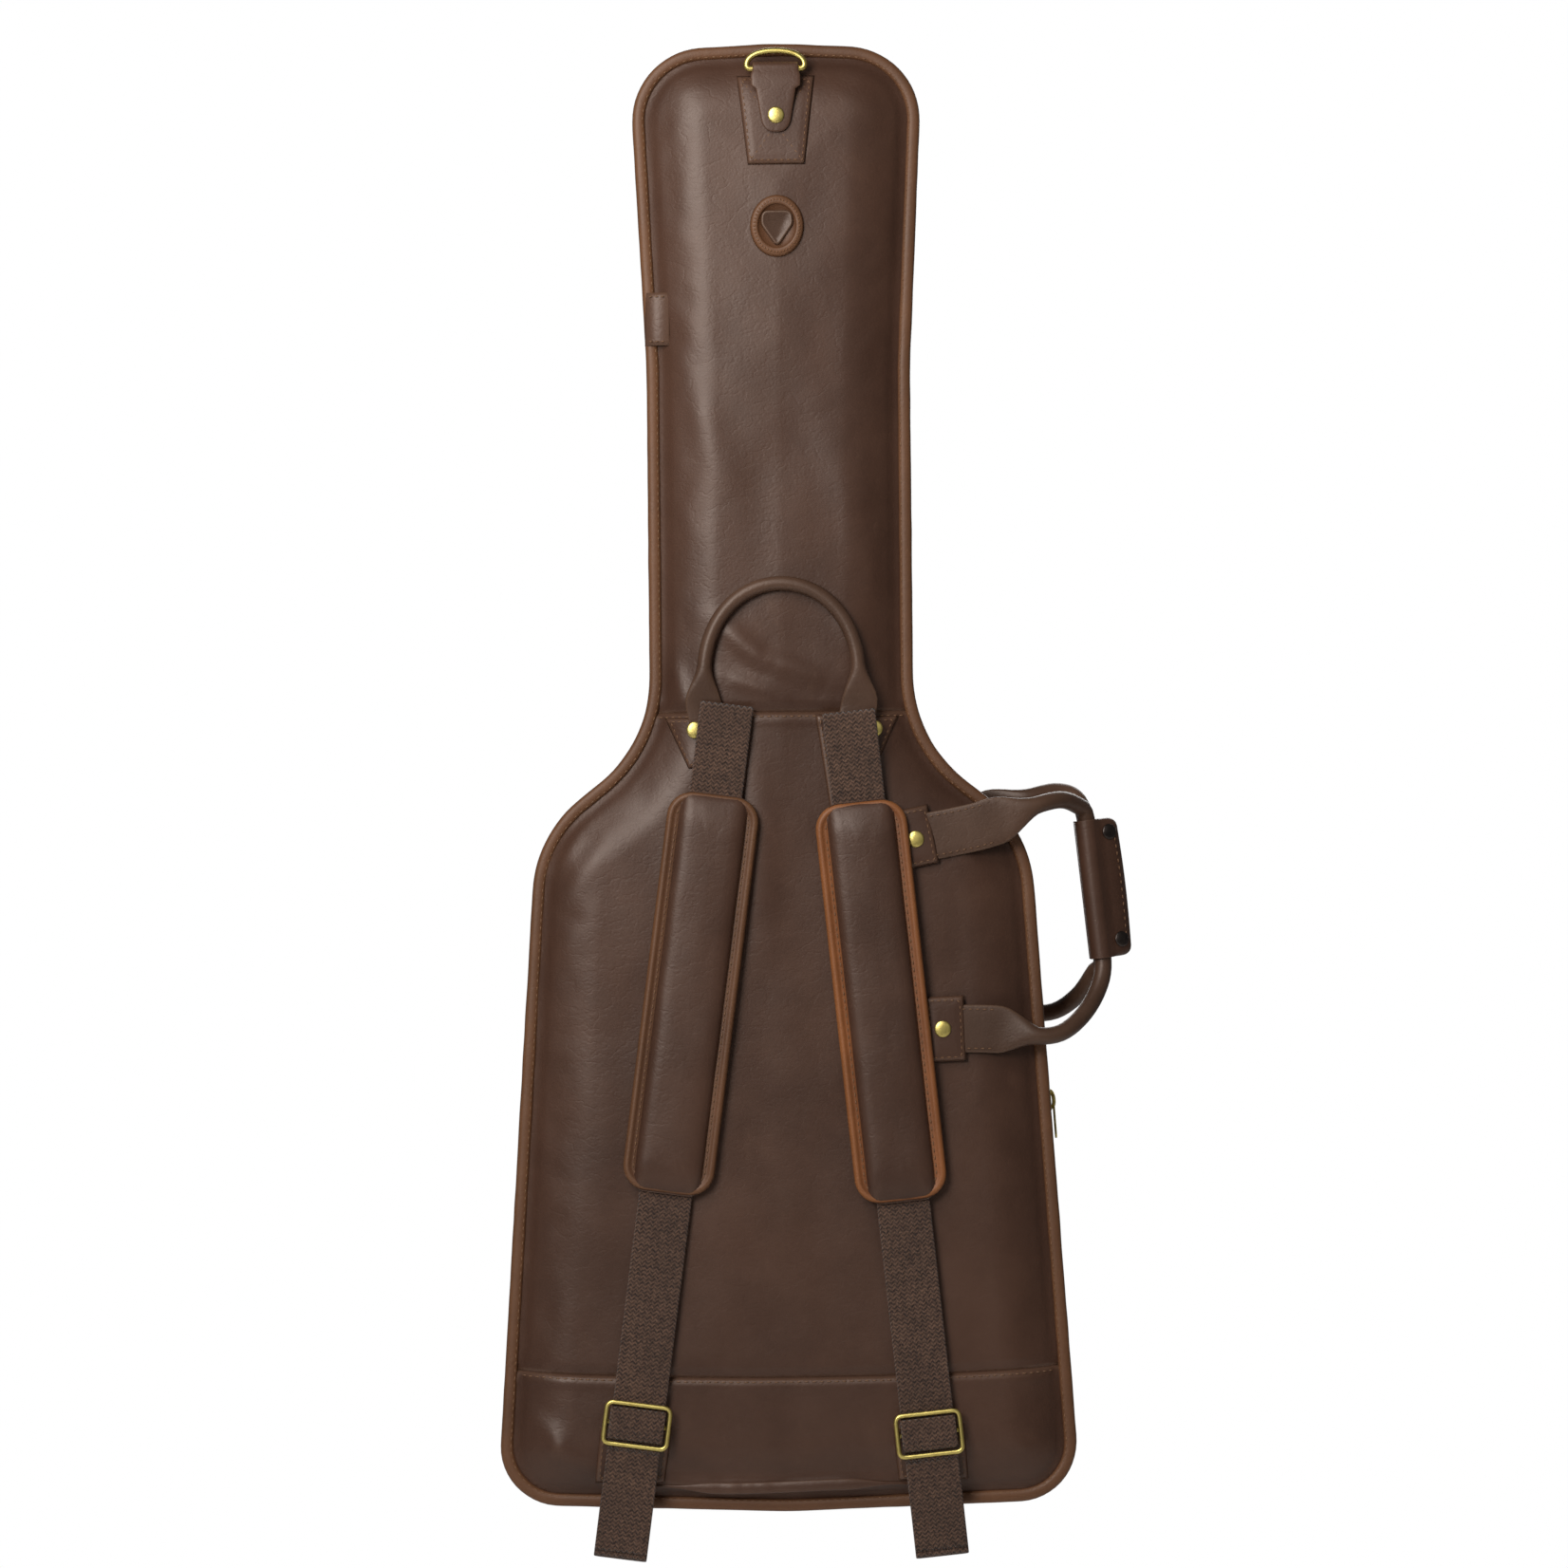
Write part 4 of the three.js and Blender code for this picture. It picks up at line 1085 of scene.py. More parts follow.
@dataclass
class Rivet:
    """A domed brass rivet."""

    name: str
    body: str
    place: Vector
    outward: Vector
    radius: float = 0.006

    def build(self, replaces: Sequence[str], finish: Finish = Finish.BRASS) -> None:
        """Makes the rivet's head with its rolled rim."""
        r = self.radius
        profile = [(0.0, 0.0), (r * 0.97, 0.0), (r, 0.0003), (r * 0.99, 0.0008), (r * 0.93, 0.0012),
                   (r * 0.78, 0.0015), (r * 0.55, 0.0018), (r * 0.3, 0.0019), (0.0, 0.0020)]
        bm = bmesh.new()
        lathe(bm, profile, facing(self.place, self.outward, Vector((1.0, 0.0, 0.0))))
        place_piece(self.name, bm, finish, self.body, replaces)


@dataclass
class HangingRing:
    """The D-shaped ring, its folded keeper, patch and rivet."""

    half: PaddedHalf
    width: float = 0.046
    wire: float = 0.0022
    bar_z: float = -0.017
    top_z: float = -0.002
    y: float = -0.044
    keeper_half: float = 0.0178

    def build(self) -> None:
        """Makes every piece of the hanger."""
        self.build_ring()
        self.build_keeper()
        Patch("ring_patch", self.half, ((-0.028, -0.0215), (0.028, -0.0215), (0.0205, -0.086),
                                        (-0.0205, -0.086)), ("ring_patch",), Finish.PANEL,
              cross=True).build()

    def build_ring(self) -> None:
        """Makes the ring of round wire."""
        half = self.width / 2 - self.wire
        top = self.top_z - self.wire
        foot = self.bar_z + 0.0022
        arch = [(half * math.copysign(abs(math.cos(a)) ** 0.9, math.cos(a)),
                 foot + (top - foot) * math.sin(a) ** 0.9) for a in np.linspace(math.pi, 0.0, 41)]
        bar = [(half - 0.0008, self.bar_z + 0.0007), (half - 0.0024, self.bar_z),
               (0.0024 - half, self.bar_z), (0.0008 - half, self.bar_z + 0.0007)]
        loop = resample(np.array([*arch, *bar]), 0.0016, True)
        path = [Vector((x, self.y, z)) for x, z in loop]
        bm = bmesh.new()
        Strip(path, steady(self.wire), steady(self.wire), steady(2.0), sides=12,
              closed=True).build(bm)
        place_piece("hanging_ring", bm, Finish.BRASS, "ring", ["hang_ring"])

    def build_keeper(self) -> None:
        """Makes the leather strap that folds over the ring's bar, and its rivet."""
        front = -(self.half.height(np.array([[0.0, -0.050]]))[0] + 0.0048)
        around = self.wire + 0.0018
        fold = [(0.0, self.y + around * math.cos(a), self.bar_z + around * math.sin(a))
                for a in np.linspace(math.pi, 0.0, 9)]
        path = curve_through([(0.0, front, -0.063), (0.0, front - 0.0004, -0.052),
                              (0.0, front - 0.0006, -0.038),
                              (0.0, self.y - around - 0.0022, -0.026), *fold,
                              (0.0, self.y + around + 0.0002, self.bar_z - 0.003)], 0.0012)

        def wide(share: float) -> float:
            tip = math.sqrt(max(0.0, 1 - (1 - min(1.0, share / 0.14)) ** 2))
            tongue = 0.0092 + 0.0052 * min(1.0, share / 0.50)
            block = (self.keeper_half - 0.0144) * ease(share, 0.50, 0.54)
            return (tongue + block - 0.0014 * ease(share, 0.66, 0.74)) * (0.30 + 0.70 * tip)

        bm = bmesh.new()
        Strip(path, wide, steady(0.00115), steady(5.0), width_axis=X_AXIS).build(bm)
        place_piece("ring_keeper_leather", bm, Finish.PANEL, self.half.body, ["ring_keeper"])
        place = Vector((0.0, front - 0.0014, -0.051))
        Rivet("ring_rivet_head", self.half.body, place, BACKWARD).build(["ring_rivet"])


@dataclass
class Badge:
    """A raised oval leather badge with a plain stamped border and a plectrum shape."""

    half: PaddedHalf
    z: float = -0.130
    wide: float = 0.019
    tall: float = 0.022
    plectrum: tuple[tuple[float, float, float], ...] = (
        (-0.0110, 0.0112, 0.0050), (0.0110, 0.0112, 0.0050), (0.0118, 0.0010, 0.0080),
        (0.0, -0.0160, 0.0030), (-0.0118, 0.0010, 0.0080))

    def build(self) -> None:
        """Makes the badge from concentric ovals and a rounded plectrum."""
        base = self.half.height(np.array([[0.0, self.z]]))[0]
        steps = [(1.02, -0.0004), (1.0, 0.0010), (0.97, 0.0024), (0.93, 0.0030), (0.80, 0.0034),
                 (0.74, 0.0032), (0.71, 0.0024), (0.69, 0.0014), (0.35, 0.0014)]
        rings = []
        for scale, rise in steps:
            rings.append([Vector((self.wide * scale * math.sin(a), -(base + rise),
                                  self.z + self.tall * scale * math.cos(a)))
                          for a in np.linspace(0, 2 * math.pi, 48, endpoint=False)])
        bm = bmesh.new()
        loft(bm, rings)
        place_piece("badge_oval", bm, Finish.TRIM, self.half.body, ["badge"])
        beads = bmesh.new()
        for a in np.linspace(0, 2 * math.pi, 44, endpoint=False):
            spot = Vector((self.wide * 0.85 * math.sin(a), -(base + 0.0029),
                           self.z + self.tall * 0.85 * math.cos(a)))
            bmesh.ops.create_icosphere(beads, subdivisions=1, radius=0.0011,
                                       matrix=Matrix.Translation(spot))
        place_piece("badge_beads", beads, Finish.TRIM, self.half.body)
        corners = [Corner(x, self.z + z, radius) for x, z, radius in self.plectrum]
        mark = bmesh.new()
        loops = [(0.0, 0.0019), (0.0006, 0.0036), (0.0016, 0.0039), (0.0024, 0.0033)]
        count = len(rounded(corners, 0.0, 0.0012))
        loft(mark, [level_ring(corners, inset, -(base + rise), count, 0.0008)
                    for inset, rise in loops])
        place_piece("badge_plectrum", mark, Finish.HANDLE, self.half.body)


def fixed_ring(loop: np.ndarray, count: int,
               place: Callable[[float, float], Vector]) -> list[Vector]:
    """A closed loop with exactly so many points."""
    line = np.vstack([loop, loop[:1]])
    run = np.concatenate([[0.0], np.cumsum(np.linalg.norm(np.diff(line, axis=0), axis=1))])
    marks = np.linspace(0.0, run[-1], count, endpoint=False)
    xs, zs = np.interp(marks, run, line[:, 0]), np.interp(marks, run, line[:, 1])
    return [place(x, z) for x, z in zip(xs, zs)]


def level_ring(corners: Sequence[Corner], inset: float, y: float, count: int,
               step: float = 0.003) -> list[Vector]:
    """A rounded polygon moved inwards, at one depth, with exactly so many points."""
    return fixed_ring(rounded(corners, inset, step), count, lambda x, z: Vector((x, y, z)))


def ease(share: float, low: float, high: float) -> float:
    """A smooth step from 0 to 1 between two shares."""
    t = min(1.0, max(0.0, (share - low) / (high - low)))
    return t * t * (3 - 2 * t)


def swell(ends: tuple[float, float], tip: float, flat: float, roll: float) -> Callable:
    """A size that is one value near both ends of a strip and another in the middle.

    Args:
        ends: shares between which the size changes at the first end.
        tip: the size right at the tip.
        flat: the size on the flat stretch.
        roll: the size on the rolled stretch.

    Returns:
        The size as a function of the share along the strip.
    """
    def size(share: float) -> float:
        near = min(share, 1 - share)
        rounding = math.sqrt(max(0.0, 1 - (1 - min(1.0, near / 0.02)) ** 2))
        value = flat + (roll - flat) * ease(near, *ends)
        return tip + (value - tip) * rounding
    return size


@dataclass
class CarryHandle:
    """The rolled carrying handle on the yoke seam, with its patches and rivets."""

    half: PaddedHalf
    half_span: float = 0.056
    foot_z: float = -0.463
    apex_z: float = -0.386
    radius: float = 0.0052
    y: float = -0.0508

    def build(self) -> None:
        """Makes the handle, its two patches and rivets."""
        rise = self.apex_z - self.foot_z
        arch = [(self.half_span * math.cos(a), self.y, self.foot_z + rise * math.sin(a) ** 0.8)
                for a in np.linspace(math.pi, 0.0, 13)]
        left = [(-0.0530, -0.0478, -0.488), (-0.0540, -0.0480, -0.481), (-0.0560, -0.0492, -0.471)]
        right = [(-x, y, z) for x, y, z in reversed(left)]
        path = curve_through([*left, *arch, *right], 0.004)
        bm = bmesh.new()
        Strip(path, swell((0.06, 0.17), 0.006, 0.0130, self.radius),
              swell((0.06, 0.17), 0.0008, 0.0014, self.radius),
              swell((0.06, 0.17), 3.0, 5.0, 2.0), sides=18).build(bm)
        handle = place_piece("carry_handle_leather", bm, Finish.HANDLE, None, ["top_handle"])
        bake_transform(handle)
        for side, name in ((-1, "left"), (1, "right")):
            outer, inner = side * 0.084, side * 0.036
            corners = ((outer, -0.4815), (inner, -0.4815), (inner, -0.520), (outer * 0.80, -0.518))
            if side > 0:
                corners = (corners[1], corners[0], corners[3], corners[2])
            Patch(f"handle_patch_{name}", self.half, corners, (f"top_handle_patch_{name}",),
                  Finish.PANEL).build()
            place = Vector((0.0020 + side * 0.0642, -0.0497, -0.4905))
            Rivet(f"handle_rivet_{name}", self.half.body, place,
                  BACKWARD).build([f"top_handle_rivet_{name}"])


# ---- shoulder straps ---------------------------------------------------------------------
@dataclass
class ShoulderStrap:
    """A shoulder strap: webbing, padded leather pad, sliding buckle, spare loop and anchor."""

    name: str
    half: PaddedHalf
    x: float
    top_z: float
    angle: float
    pad_edge: Finish
    width: float = 0.038
    pad_width: float = 0.066
    pad_top: float = 0.0643
    pad_length: float = 0.287
    lower_length: float = 0.186
    webbing_y: float = -0.053
    buckle_width: float = 0.049
    buckle_height: float = 0.033
    buckle_wire: float = 0.0017

    def place(self) -> Matrix:
        """Returns the placement of the strap, which hangs down its own -Z axis."""
        turn = Matrix.Rotation(math.radians(self.angle), 4, "Y")
        return Matrix.Translation((self.x, 0.0, self.top_z)) @ turn

    def finish(self, name: str, bm: bmesh.types.BMesh, finish: Finish, body: str | None,
               replaces: Sequence[str] = ()) -> bpy.types.Object:
        """Places a piece that was built straight down."""
        bmesh.ops.transform(bm, matrix=self.place(), verts=bm.verts)
        return place_piece(f"{name}_{self.name}", bm, finish, body, replaces)

    def ribbon(self, points: Sequence[tuple[float, float]], step: float = 0.004,
               wave: float = 0.0004) -> bmesh.types.BMesh:
        """Returns webbing along (y, z) points."""
        path = curve_through([(0.0, y, z) for y, z in points], step)
        path = [p + Vector((0.0, wave * noise.noise(p * 24 + Vector((self.x * 90, 0, 0))), 0.0))
                for p in path]
        bm = bmesh.new()
        Strip(path, steady(self.width / 2), steady(WEBBING_HALF), steady(7.0), sides=20,
              width_axis=X_AXIS).build(bm)
        return bm

    def build(self) -> None:
        """Makes the whole strap."""
        body = f"strap_{self.name}"
        y = self.webbing_y
        upper = self.finish("webbing_upper", self.ribbon([(y + 0.0015, 0.001), (y, -0.02),
                            (y, -0.045), (y - 0.001, -self.pad_top - 0.012)]), Finish.WEBBING,
                            None, [f"strap_webbing_upper_{self.name}"])
        ORIGIN + Vector((0, 0, self.top_z - 0.03))
        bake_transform(upper)
        pad_end = self.pad_top + self.pad_length
        end = pad_end + self.lower_length + 0.0005
        self.finish("webbing_lower", self.ribbon([(y - 0.0006, -pad_end + 0.012),
                    (y, -pad_end - 0.004), (y, -pad_end - 0.05), (y, -pad_end - 0.1),
                    (y, -end)], wave=0.0), Finish.WEBBING, body,
                    [f"strap_webbing_lower_{self.name}"])
        self.build_pad(body)
        self.build_buckle(end)
        self.build_loop(end)
        self.build_anchor()

    def build_pad(self, body: str) -> None:
        """Makes the pad: dark raised leather between stitched edges of paler leather."""
        half = self.pad_width / 2
        top, bottom = -self.pad_top, -self.pad_top - self.pad_length
        corners = box_corners(half, top, bottom, 0.018)
        edge = [(0.0, -0.0538), (0.0002, -0.0560), (0.0012, -0.0576), (0.0028, -0.0582),
                (0.0044, -0.0578), (0.0054, -0.0568), (0.0066, -0.0567), (0.0098, -0.0570),
                (0.0108, -0.0560), (0.0108, -0.0545), (0.0100, -0.0522), (0.0020, -0.0520)]
        count = 200
        bm = bmesh.new()
        loft(bm, [level_ring(corners, inset, y, count) for inset, y in edge], closed=True)
        self.finish("pad_edge", bm, self.pad_edge, body)
        self.build_pad_face(body, top, bottom, count)
        threads = bmesh.new()
        line = level_ring(corners, 0.0072, -0.0571, 240)
        Stitch(0.0036, 0.0009, 0.0052).sew(threads, line, lambda p: BACKWARD, True)
        self.finish("pad_stitches", threads, Finish.THREAD, body)

    def build_pad_face(self, body: str, top: float, bottom: float, count: int) -> None:
        """Makes the raised centre, which wraps over both ends, and the flat back."""
        corners = box_corners(self.pad_width / 2 - 0.0088, top + 0.0006, bottom - 0.0006, 0.0075)
        rises = [(0.0, -0.0570), (0.0004, -0.0586), (0.0016, -0.0604), (0.0036, -0.0619),
                 (0.0066, -0.0629), (0.0110, -0.0634), (0.0170, -0.0636), (0.0225, -0.0637)]

        def ring(inset: float, y: float) -> list[Vector]:
            def spot(x: float, z: float) -> Vector:
                away = min(top - z, z - bottom) / 0.020
                ends = 1 - ease(away, 0.0, 1.0)
                soft = 0.0006 * noise.noise(Vector((x * 50 + self.x * 70, 0.0, z * 26)))
                return Vector((x, y + (0.0034 * ends + soft if y < -0.0575 else 0.0), z))
            return fixed_ring(rounded(corners, inset, 0.003), count, spot)

        rings = [ring(0.0060, -0.0519), ring(0.0, -0.0519), *[ring(i, y) for i, y in rises]]
        bm = bmesh.new()
        loft(bm, rings)
        face = self.finish("pad_face", bm, Finish.PANEL, body, [f"strap_pad_{self.name}"])

    def build_buckle(self, end: float) -> None:
        """Makes the sliding buckle: a wire frame with a bar behind the webbing."""
        wire = self.buckle_wire
        half_w, half_h = self.buckle_width / 2 - wire, self.buckle_height / 2 - wire
        centre = -end + self.buckle_height / 2 + 0.0025
        front = self.webbing_y - 0.001 - 0.0003 - wire
        corners = box_corners(half_w, centre + half_h, centre - half_h, 0.004)
        path = [Vector((x, front, z)) for x, z in rounded(corners, 0.0, 0.0016)]
        bm = bmesh.new()
        Strip(path, steady(wire), steady(wire), steady(2.0), sides=10, closed=True).build(bm)
        back = front + 0.0060
        bar = curve_through([(-half_w, front, centre), (-half_w, back - 0.001, centre),
                             (-half_w + 0.0025, back, centre), (0.0, back, centre),
                             (half_w - 0.0025, back, centre), (half_w, back - 0.001, centre),
                             (half_w, front, centre)], 0.0014)
        Strip(bar, steady(wire * 0.9), steady(wire * 0.9), steady(2.0), Z_AXIS, 10).build(bm)
        body = f"buckle_{self.name}"
        self.finish("buckle", bm, Finish.BRASS, body, [f"strap_buckle_{self.name}"])
        fold = bmesh.new()
        path = [Vector((0.0, self.webbing_y - 0.0028 - 0.0016 * math.sin(math.pi * t),
                        centre - 0.0115 + 0.0230 * t)) for t in np.linspace(0.0, 1.0, 18)]

        def thick(share: float) -> float:
            return 0.0005 + 0.0015 * math.sin(math.pi * min(1.0, max(0.0, share))) ** 0.5

        Strip(path, steady(self.width / 2 + 0.0008), thick, steady(5.0), sides=20,
              width_axis=X_AXIS).build(fold)
        self.finish("buckle_fold", fold, Finish.WEBBING, body)

    def build_loop(self, end: float) -> None:
        """Makes the spare webbing: a front leg that swings and a folded leg sewn to the back."""
        lean = math.cos(math.radians(self.angle))
        y = self.webbing_y
        fold = (-1.083 - self.top_z) / lean + 0.005

        def drop(z: float) -> float:
            return (z - self.top_z) / lean

        front = self.finish("loop_front", self.ribbon([(y, -end), (y - 0.0006, -end - 0.02),
                            (y - 0.0012, -end - 0.045), (y - 0.0002, fold)]), Finish.WEBBING, None)
        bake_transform(front)
        turn = [(y + 0.004 * (1 - math.cos(a)), fold - 0.0042 * math.sin(a))
                for a in np.linspace(0.0, math.pi, 7)]
        x = self.x + (self.top_z + 1.0) * math.tan(math.radians(-self.angle))
        rise = [(-self.half.height(np.array([[x, z]]))[0] - 0.0050, drop(z))
                for z in (-1.030, -1.020, -1.010, -0.999)]
        self.finish("loop_back", self.ribbon([*turn, (-0.0415, drop(-1.052)), *rise], 0.003),
                    Finish.WEBBING, "root", [f"strap_loop_{self.name}"])

    def build_anchor(self) -> None:
        """Makes the stitched leather patch that holds the spare webbing."""
        x = self.x + (self.top_z + 0.990) * math.tan(math.radians(-self.angle))
        low = x + 0.039 * math.tan(math.radians(-self.angle))
        corners = ((x - 0.026, -0.9885), (x + 0.026, -0.9885), (low + 0.025, -1.0300),
                   (low - 0.025, -1.0300))
        Patch(f"anchor_{self.name}", self.half, corners, (f"strap_anchor_{self.name}",),
              Finish.PANEL, cross=True).build()


# ---- side handle -------------------------------------------------------------------------
@dataclass
class SideHandle:
    """One loop of the side handle with its half of the snap wrap."""

    name: str
    half: PaddedHalf
    body: str
    wrap_top: tuple[float, float] = (0.219, -0.558)
    wrap_length: float = 0.100
    tilt: float = 6.2
    depth: float = 0.010
    radius: float = 0.0062
    tabs: tuple[tuple[str, tuple[tuple[float, float], ...]], ...] = (
        ("upper", ((0.0790, -0.5500), (0.1040, -0.5450), (0.1120, -0.5870), (0.0870, -0.5920))),
        ("lower", ((0.1000, -0.6830), (0.1285, -0.6820), (0.1300, -0.7290), (0.1020, -0.7300))))

    def build(self) -> None:
        """Makes the loop, its rivets and its half of the wrap."""
        self.build_loop()
        self.build_wrap()
        for name, corners in self.tabs:
            Patch(f"side_{self.name}_tab_{name}", self.half, corners, (), Finish.PANEL,
                  lift=0.0034).build()
        for name, x, z in (("upper", 0.0950, -0.570), ("lower", 0.1130, -0.706)):
            place = self.half.on(x, z, 0.0058)
            rivet = Rivet(f"side_{self.name}_rivet_{name}", self.half.body, place,
                          Vector((0, self.half.side, 0)))
            rivet.build([f"side_handle_{self.name}_rivet_{name}"])

    def build_loop(self) -> None:
        """Makes the loop in one piece: flat strap, roll, flat strap."""
        slope = math.tan(math.radians(self.tilt))
        top_x, top_z = self.wrap_top
        straight = [(top_x + along * slope, -self.depth, top_z - along)
                    for along in (-0.004, 0.025, 0.05, 0.075, 0.104)]
        upper = [(0.077, -0.0478, -0.573), (0.095, -0.0478, -0.570), (0.120, -0.0480, -0.5655),
                 (0.145, -0.0485, -0.560), (0.168, -0.0480, -0.552), (0.184, -0.044, -0.546),
                 (0.200, -0.032, -0.543), (0.212, -0.018, -0.547)]
        lower = [(0.226, -0.017, -0.680), (0.215, -0.030, -0.697), (0.200, -0.042, -0.709),
                 (0.184, -0.048, -0.712), (0.168, -0.0487, -0.709), (0.148, -0.0485, -0.7065),
                 (0.113, -0.0478, -0.706), (0.096, -0.0478, -0.706)]
        if self.half.side > 0:
            upper = [(x, y, z + 0.006 * ease(x, 0.110, 0.160)) for x, y, z in upper]
            lower = [(x, y, z + 0.013 * ease(x, 0.110, 0.170)) for x, y, z in lower]
        side = -self.half.side
        path = curve_through([(x, y * side, z) for x, y, z in (*upper, *straight, *lower)], 0.0045)
        length = len(path) - 1

        def near(share: float) -> float:
            return path[round(share * length)].x

        def wide(share: float) -> float:
            flat = 0.0172 + (self.radius - 0.0172) * ease(near(share), 0.152, 0.184)
            tip = min(share, 1 - share) / 0.022
            return flat * (0.55 + 0.45 * math.sqrt(max(0.0, 1 - (1 - min(1.0, tip)) ** 2)))

        def thick(share: float) -> float:
            return 0.0014 + (self.radius - 0.0014) * ease(near(share), 0.154, 0.186)

        def power(share: float) -> float:
            return 5.0 - 3.0 * ease(near(share), 0.150, 0.182)

        bm = bmesh.new()
        strip = Strip(path, wide, thick, power, sides=18)
        strip.build(bm)
        replaced = [f"side_handle_{self.name}_{part}" for part in
                    ("roll", "strap_upper", "strap_lower")]
        loop = place_piece(f"side_{self.name}_loop", bm, Finish.HANDLE, None, replaced)
        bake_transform(loop)
        self.sew(strip)

    def sew(self, strip: Strip) -> None:
        """Stitches both edges of the flat stretches that stay on the bag."""
        threads = bmesh.new()
        frames = strip.frames()
        count = len(frames)
        outward = Vector((0.0, self.half.side, 0.0))
        for edge in (-1.0, 1.0):
            for span in (range(2, count // 2), range(count // 2, count - 2)):
                line = []
                for i in span:
                    here, width, _ = frames[i]
                    if 0.082 < here.x < 0.150:
                        reach = strip.wide(i / (count - 1)) - 0.0032
                        line.append(here + width * edge * reach + outward * 0.0016)
                Stitch(0.0032, 0.0009, 0.0050).sew(threads, line, lambda p: outward)
        place_piece(f"side_{self.name}_strap_stitches", threads, Finish.THREAD, self.half.body)

    def build_wrap(self) -> None:
        """Makes the half sleeve round the roll and its flange, with stitches and snaps."""
        inner, wall, flange, meet = 0.0066, 0.0019, 0.0152, 0.0002
        outer = inner + wall
        arc_in = [(inner * math.cos(a), inner * math.sin(a)) for a in np.linspace(0, -math.pi, 14)]
        arc_out = [(outer * math.cos(a), outer * math.sin(a))
                   for a in np.linspace(-math.pi, -math.radians(52), 14)]
        lift = self.depth
        ends = [(inner + flange, -meet), (inner, -meet), *[(x, y - lift) for x, y in arc_in],
                (-inner, -meet), (-outer, -meet), *[(x, y - lift) for x, y in arc_out],
                (0.0088, -0.0122), (0.0118, -0.0106), (0.0148, -0.0090), (0.0178, -0.0072),
                (0.0204, -0.0050), (inner + flange, -0.0026)]
        slope = math.radians(self.tilt)
        down = Vector((math.sin(slope), 0.0, -math.cos(slope)))
        out = Vector((math.cos(slope), 0.0, math.sin(slope)))
        top = Vector((self.wrap_top[0], 0.0, self.wrap_top[1]))
        rings = []
        ends_close = [0.0, 0.0004, 0.0012, 0.0024, 0.0040, 0.0065]
        stations = [*ends_close, *np.linspace(0.012, self.wrap_length - 0.012, 18),
                    *[self.wrap_length - a for a in reversed(ends_close)]]
        for along in stations:
            end = min(along, self.wrap_length - along)
            corner = 0.0065 * (1 - math.sqrt(max(0.0, 1 - (1 - min(1.0, end / 0.0065)) ** 2)))
            shift = 0.0014 * math.sin(math.pi * along / self.wrap_length) - corner
            rings.append([top + down * along + out * (x + shift * ease(x, outer, outer + 0.006))
                          + Vector((0.0, -self.half.side * y, 0.0)) for x, y in ends])
        bm = bmesh.new()
        loft(bm, rings)
        place_piece(f"side_{self.name}_wrap_leather", bm, Finish.PANEL, self.body,
                    [f"side_handle_{self.name}_wrap"])
        threads = bmesh.new()
        outward = Vector((0.0, self.half.side, 0.0))
        line = [top + down * a + out * (0.0186 + 0.0014 * math.sin(math.pi * a / self.wrap_length))
                + outward * 0.0071 for a in np.linspace(0.008, self.wrap_length - 0.008, 20)]
        Stitch(0.0034, 0.0009, 0.0052).sew(threads, line, lambda p: outward)
        place_piece(f"side_{self.name}_wrap_stitches", threads, Finish.THREAD, self.body)
        if self.half.side < 0:
            for name, along in (("upper", 0.010), ("lower", self.wrap_length - 0.012)):
                place = top + down * along + out * (inner + 0.0088) + outward * 0.0089
                lean = outward + out * 0.55
                Rivet(f"snap_{name}", self.body, place, lean, 0.0056).build(
                    [f"side_handle_snap_{name}"], Finish.SNAP)


# ---- zips, spine and pocket --------------------------------------------------------------
@dataclass
class ZipRunner:
    """A zip slider and its pull."""

    name: str
    place: Matrix
    slider_body: str
    pull_body: str
    slider_node: str
    pull_node: str

    def build(self) -> None:
        """Makes the slider (local X out of the tape, Z along it) and the hanging pull."""
        bm = bmesh.new()
        block(bm, (0.0034, 0.0120, 0.0160), self.place @ Matrix.Translation((0.0019, 0, 0)),
              0.0012, 3)
        bridge = curve_through([(0.0030, 0, -0.006), (0.0052, 0, -0.004), (0.0056, 0, 0.001),
                                (0.0046, 0, 0.005), (0.0030, 0, 0.0065)], 0.001)
        fresh = bmesh.new()
        Strip(bridge, steady(0.0014), steady(0.0006), steady(4.0), sides=10).build(fresh)
        bmesh.ops.transform(fresh, matrix=self.place, verts=fresh.verts)
        append(bm, fresh)
        place_piece(f"{self.name}_slider_body", bm, Finish.BRASS, self.slider_body,
                    [self.slider_node])
        leaf = bmesh.new()
        outer = box_corners(0.0042, 0.0045, -0.0280, 0.0038)
        hole = box_corners(0.0018, 0.0028, -0.0040, 0.0016)
        count = 40
        steps = [(outer, 0.0046), (outer, 0.0060), (hole, 0.0060), (hole, 0.0046)]
        loft(leaf, [fixed_ring(rounded(corners, 0.0, 0.0006), count,
                               lambda x, z, h=h: Vector((h, x, z)))
                    for corners, h in steps], closed=True)
        bmesh.ops.transform(leaf, matrix=self.place, verts=leaf.verts)
        place_piece(f"{self.name}_pull_leaf", leaf, Finish.BRASS, self.pull_body, [self.pull_node])


def build_main_zip_runner() -> None:
    """Makes the main zip's slider and pull on the straight +X side."""
    z = -0.760
    lean = math.atan2(OUTLINE.side_x(-0.9) - OUTLINE.side_x(-0.8), 0.1)
    place = (Matrix.Translation((OUTLINE.side_x(z) + 0.0004, 0.0, z))
             @ Matrix.Rotation(-lean, 4, "Y"))
    ZipRunner("main_zip", place, "main_zip_runner", "main_zip_leaf", "main_zip_slider",
              "main_zip_pull").build()


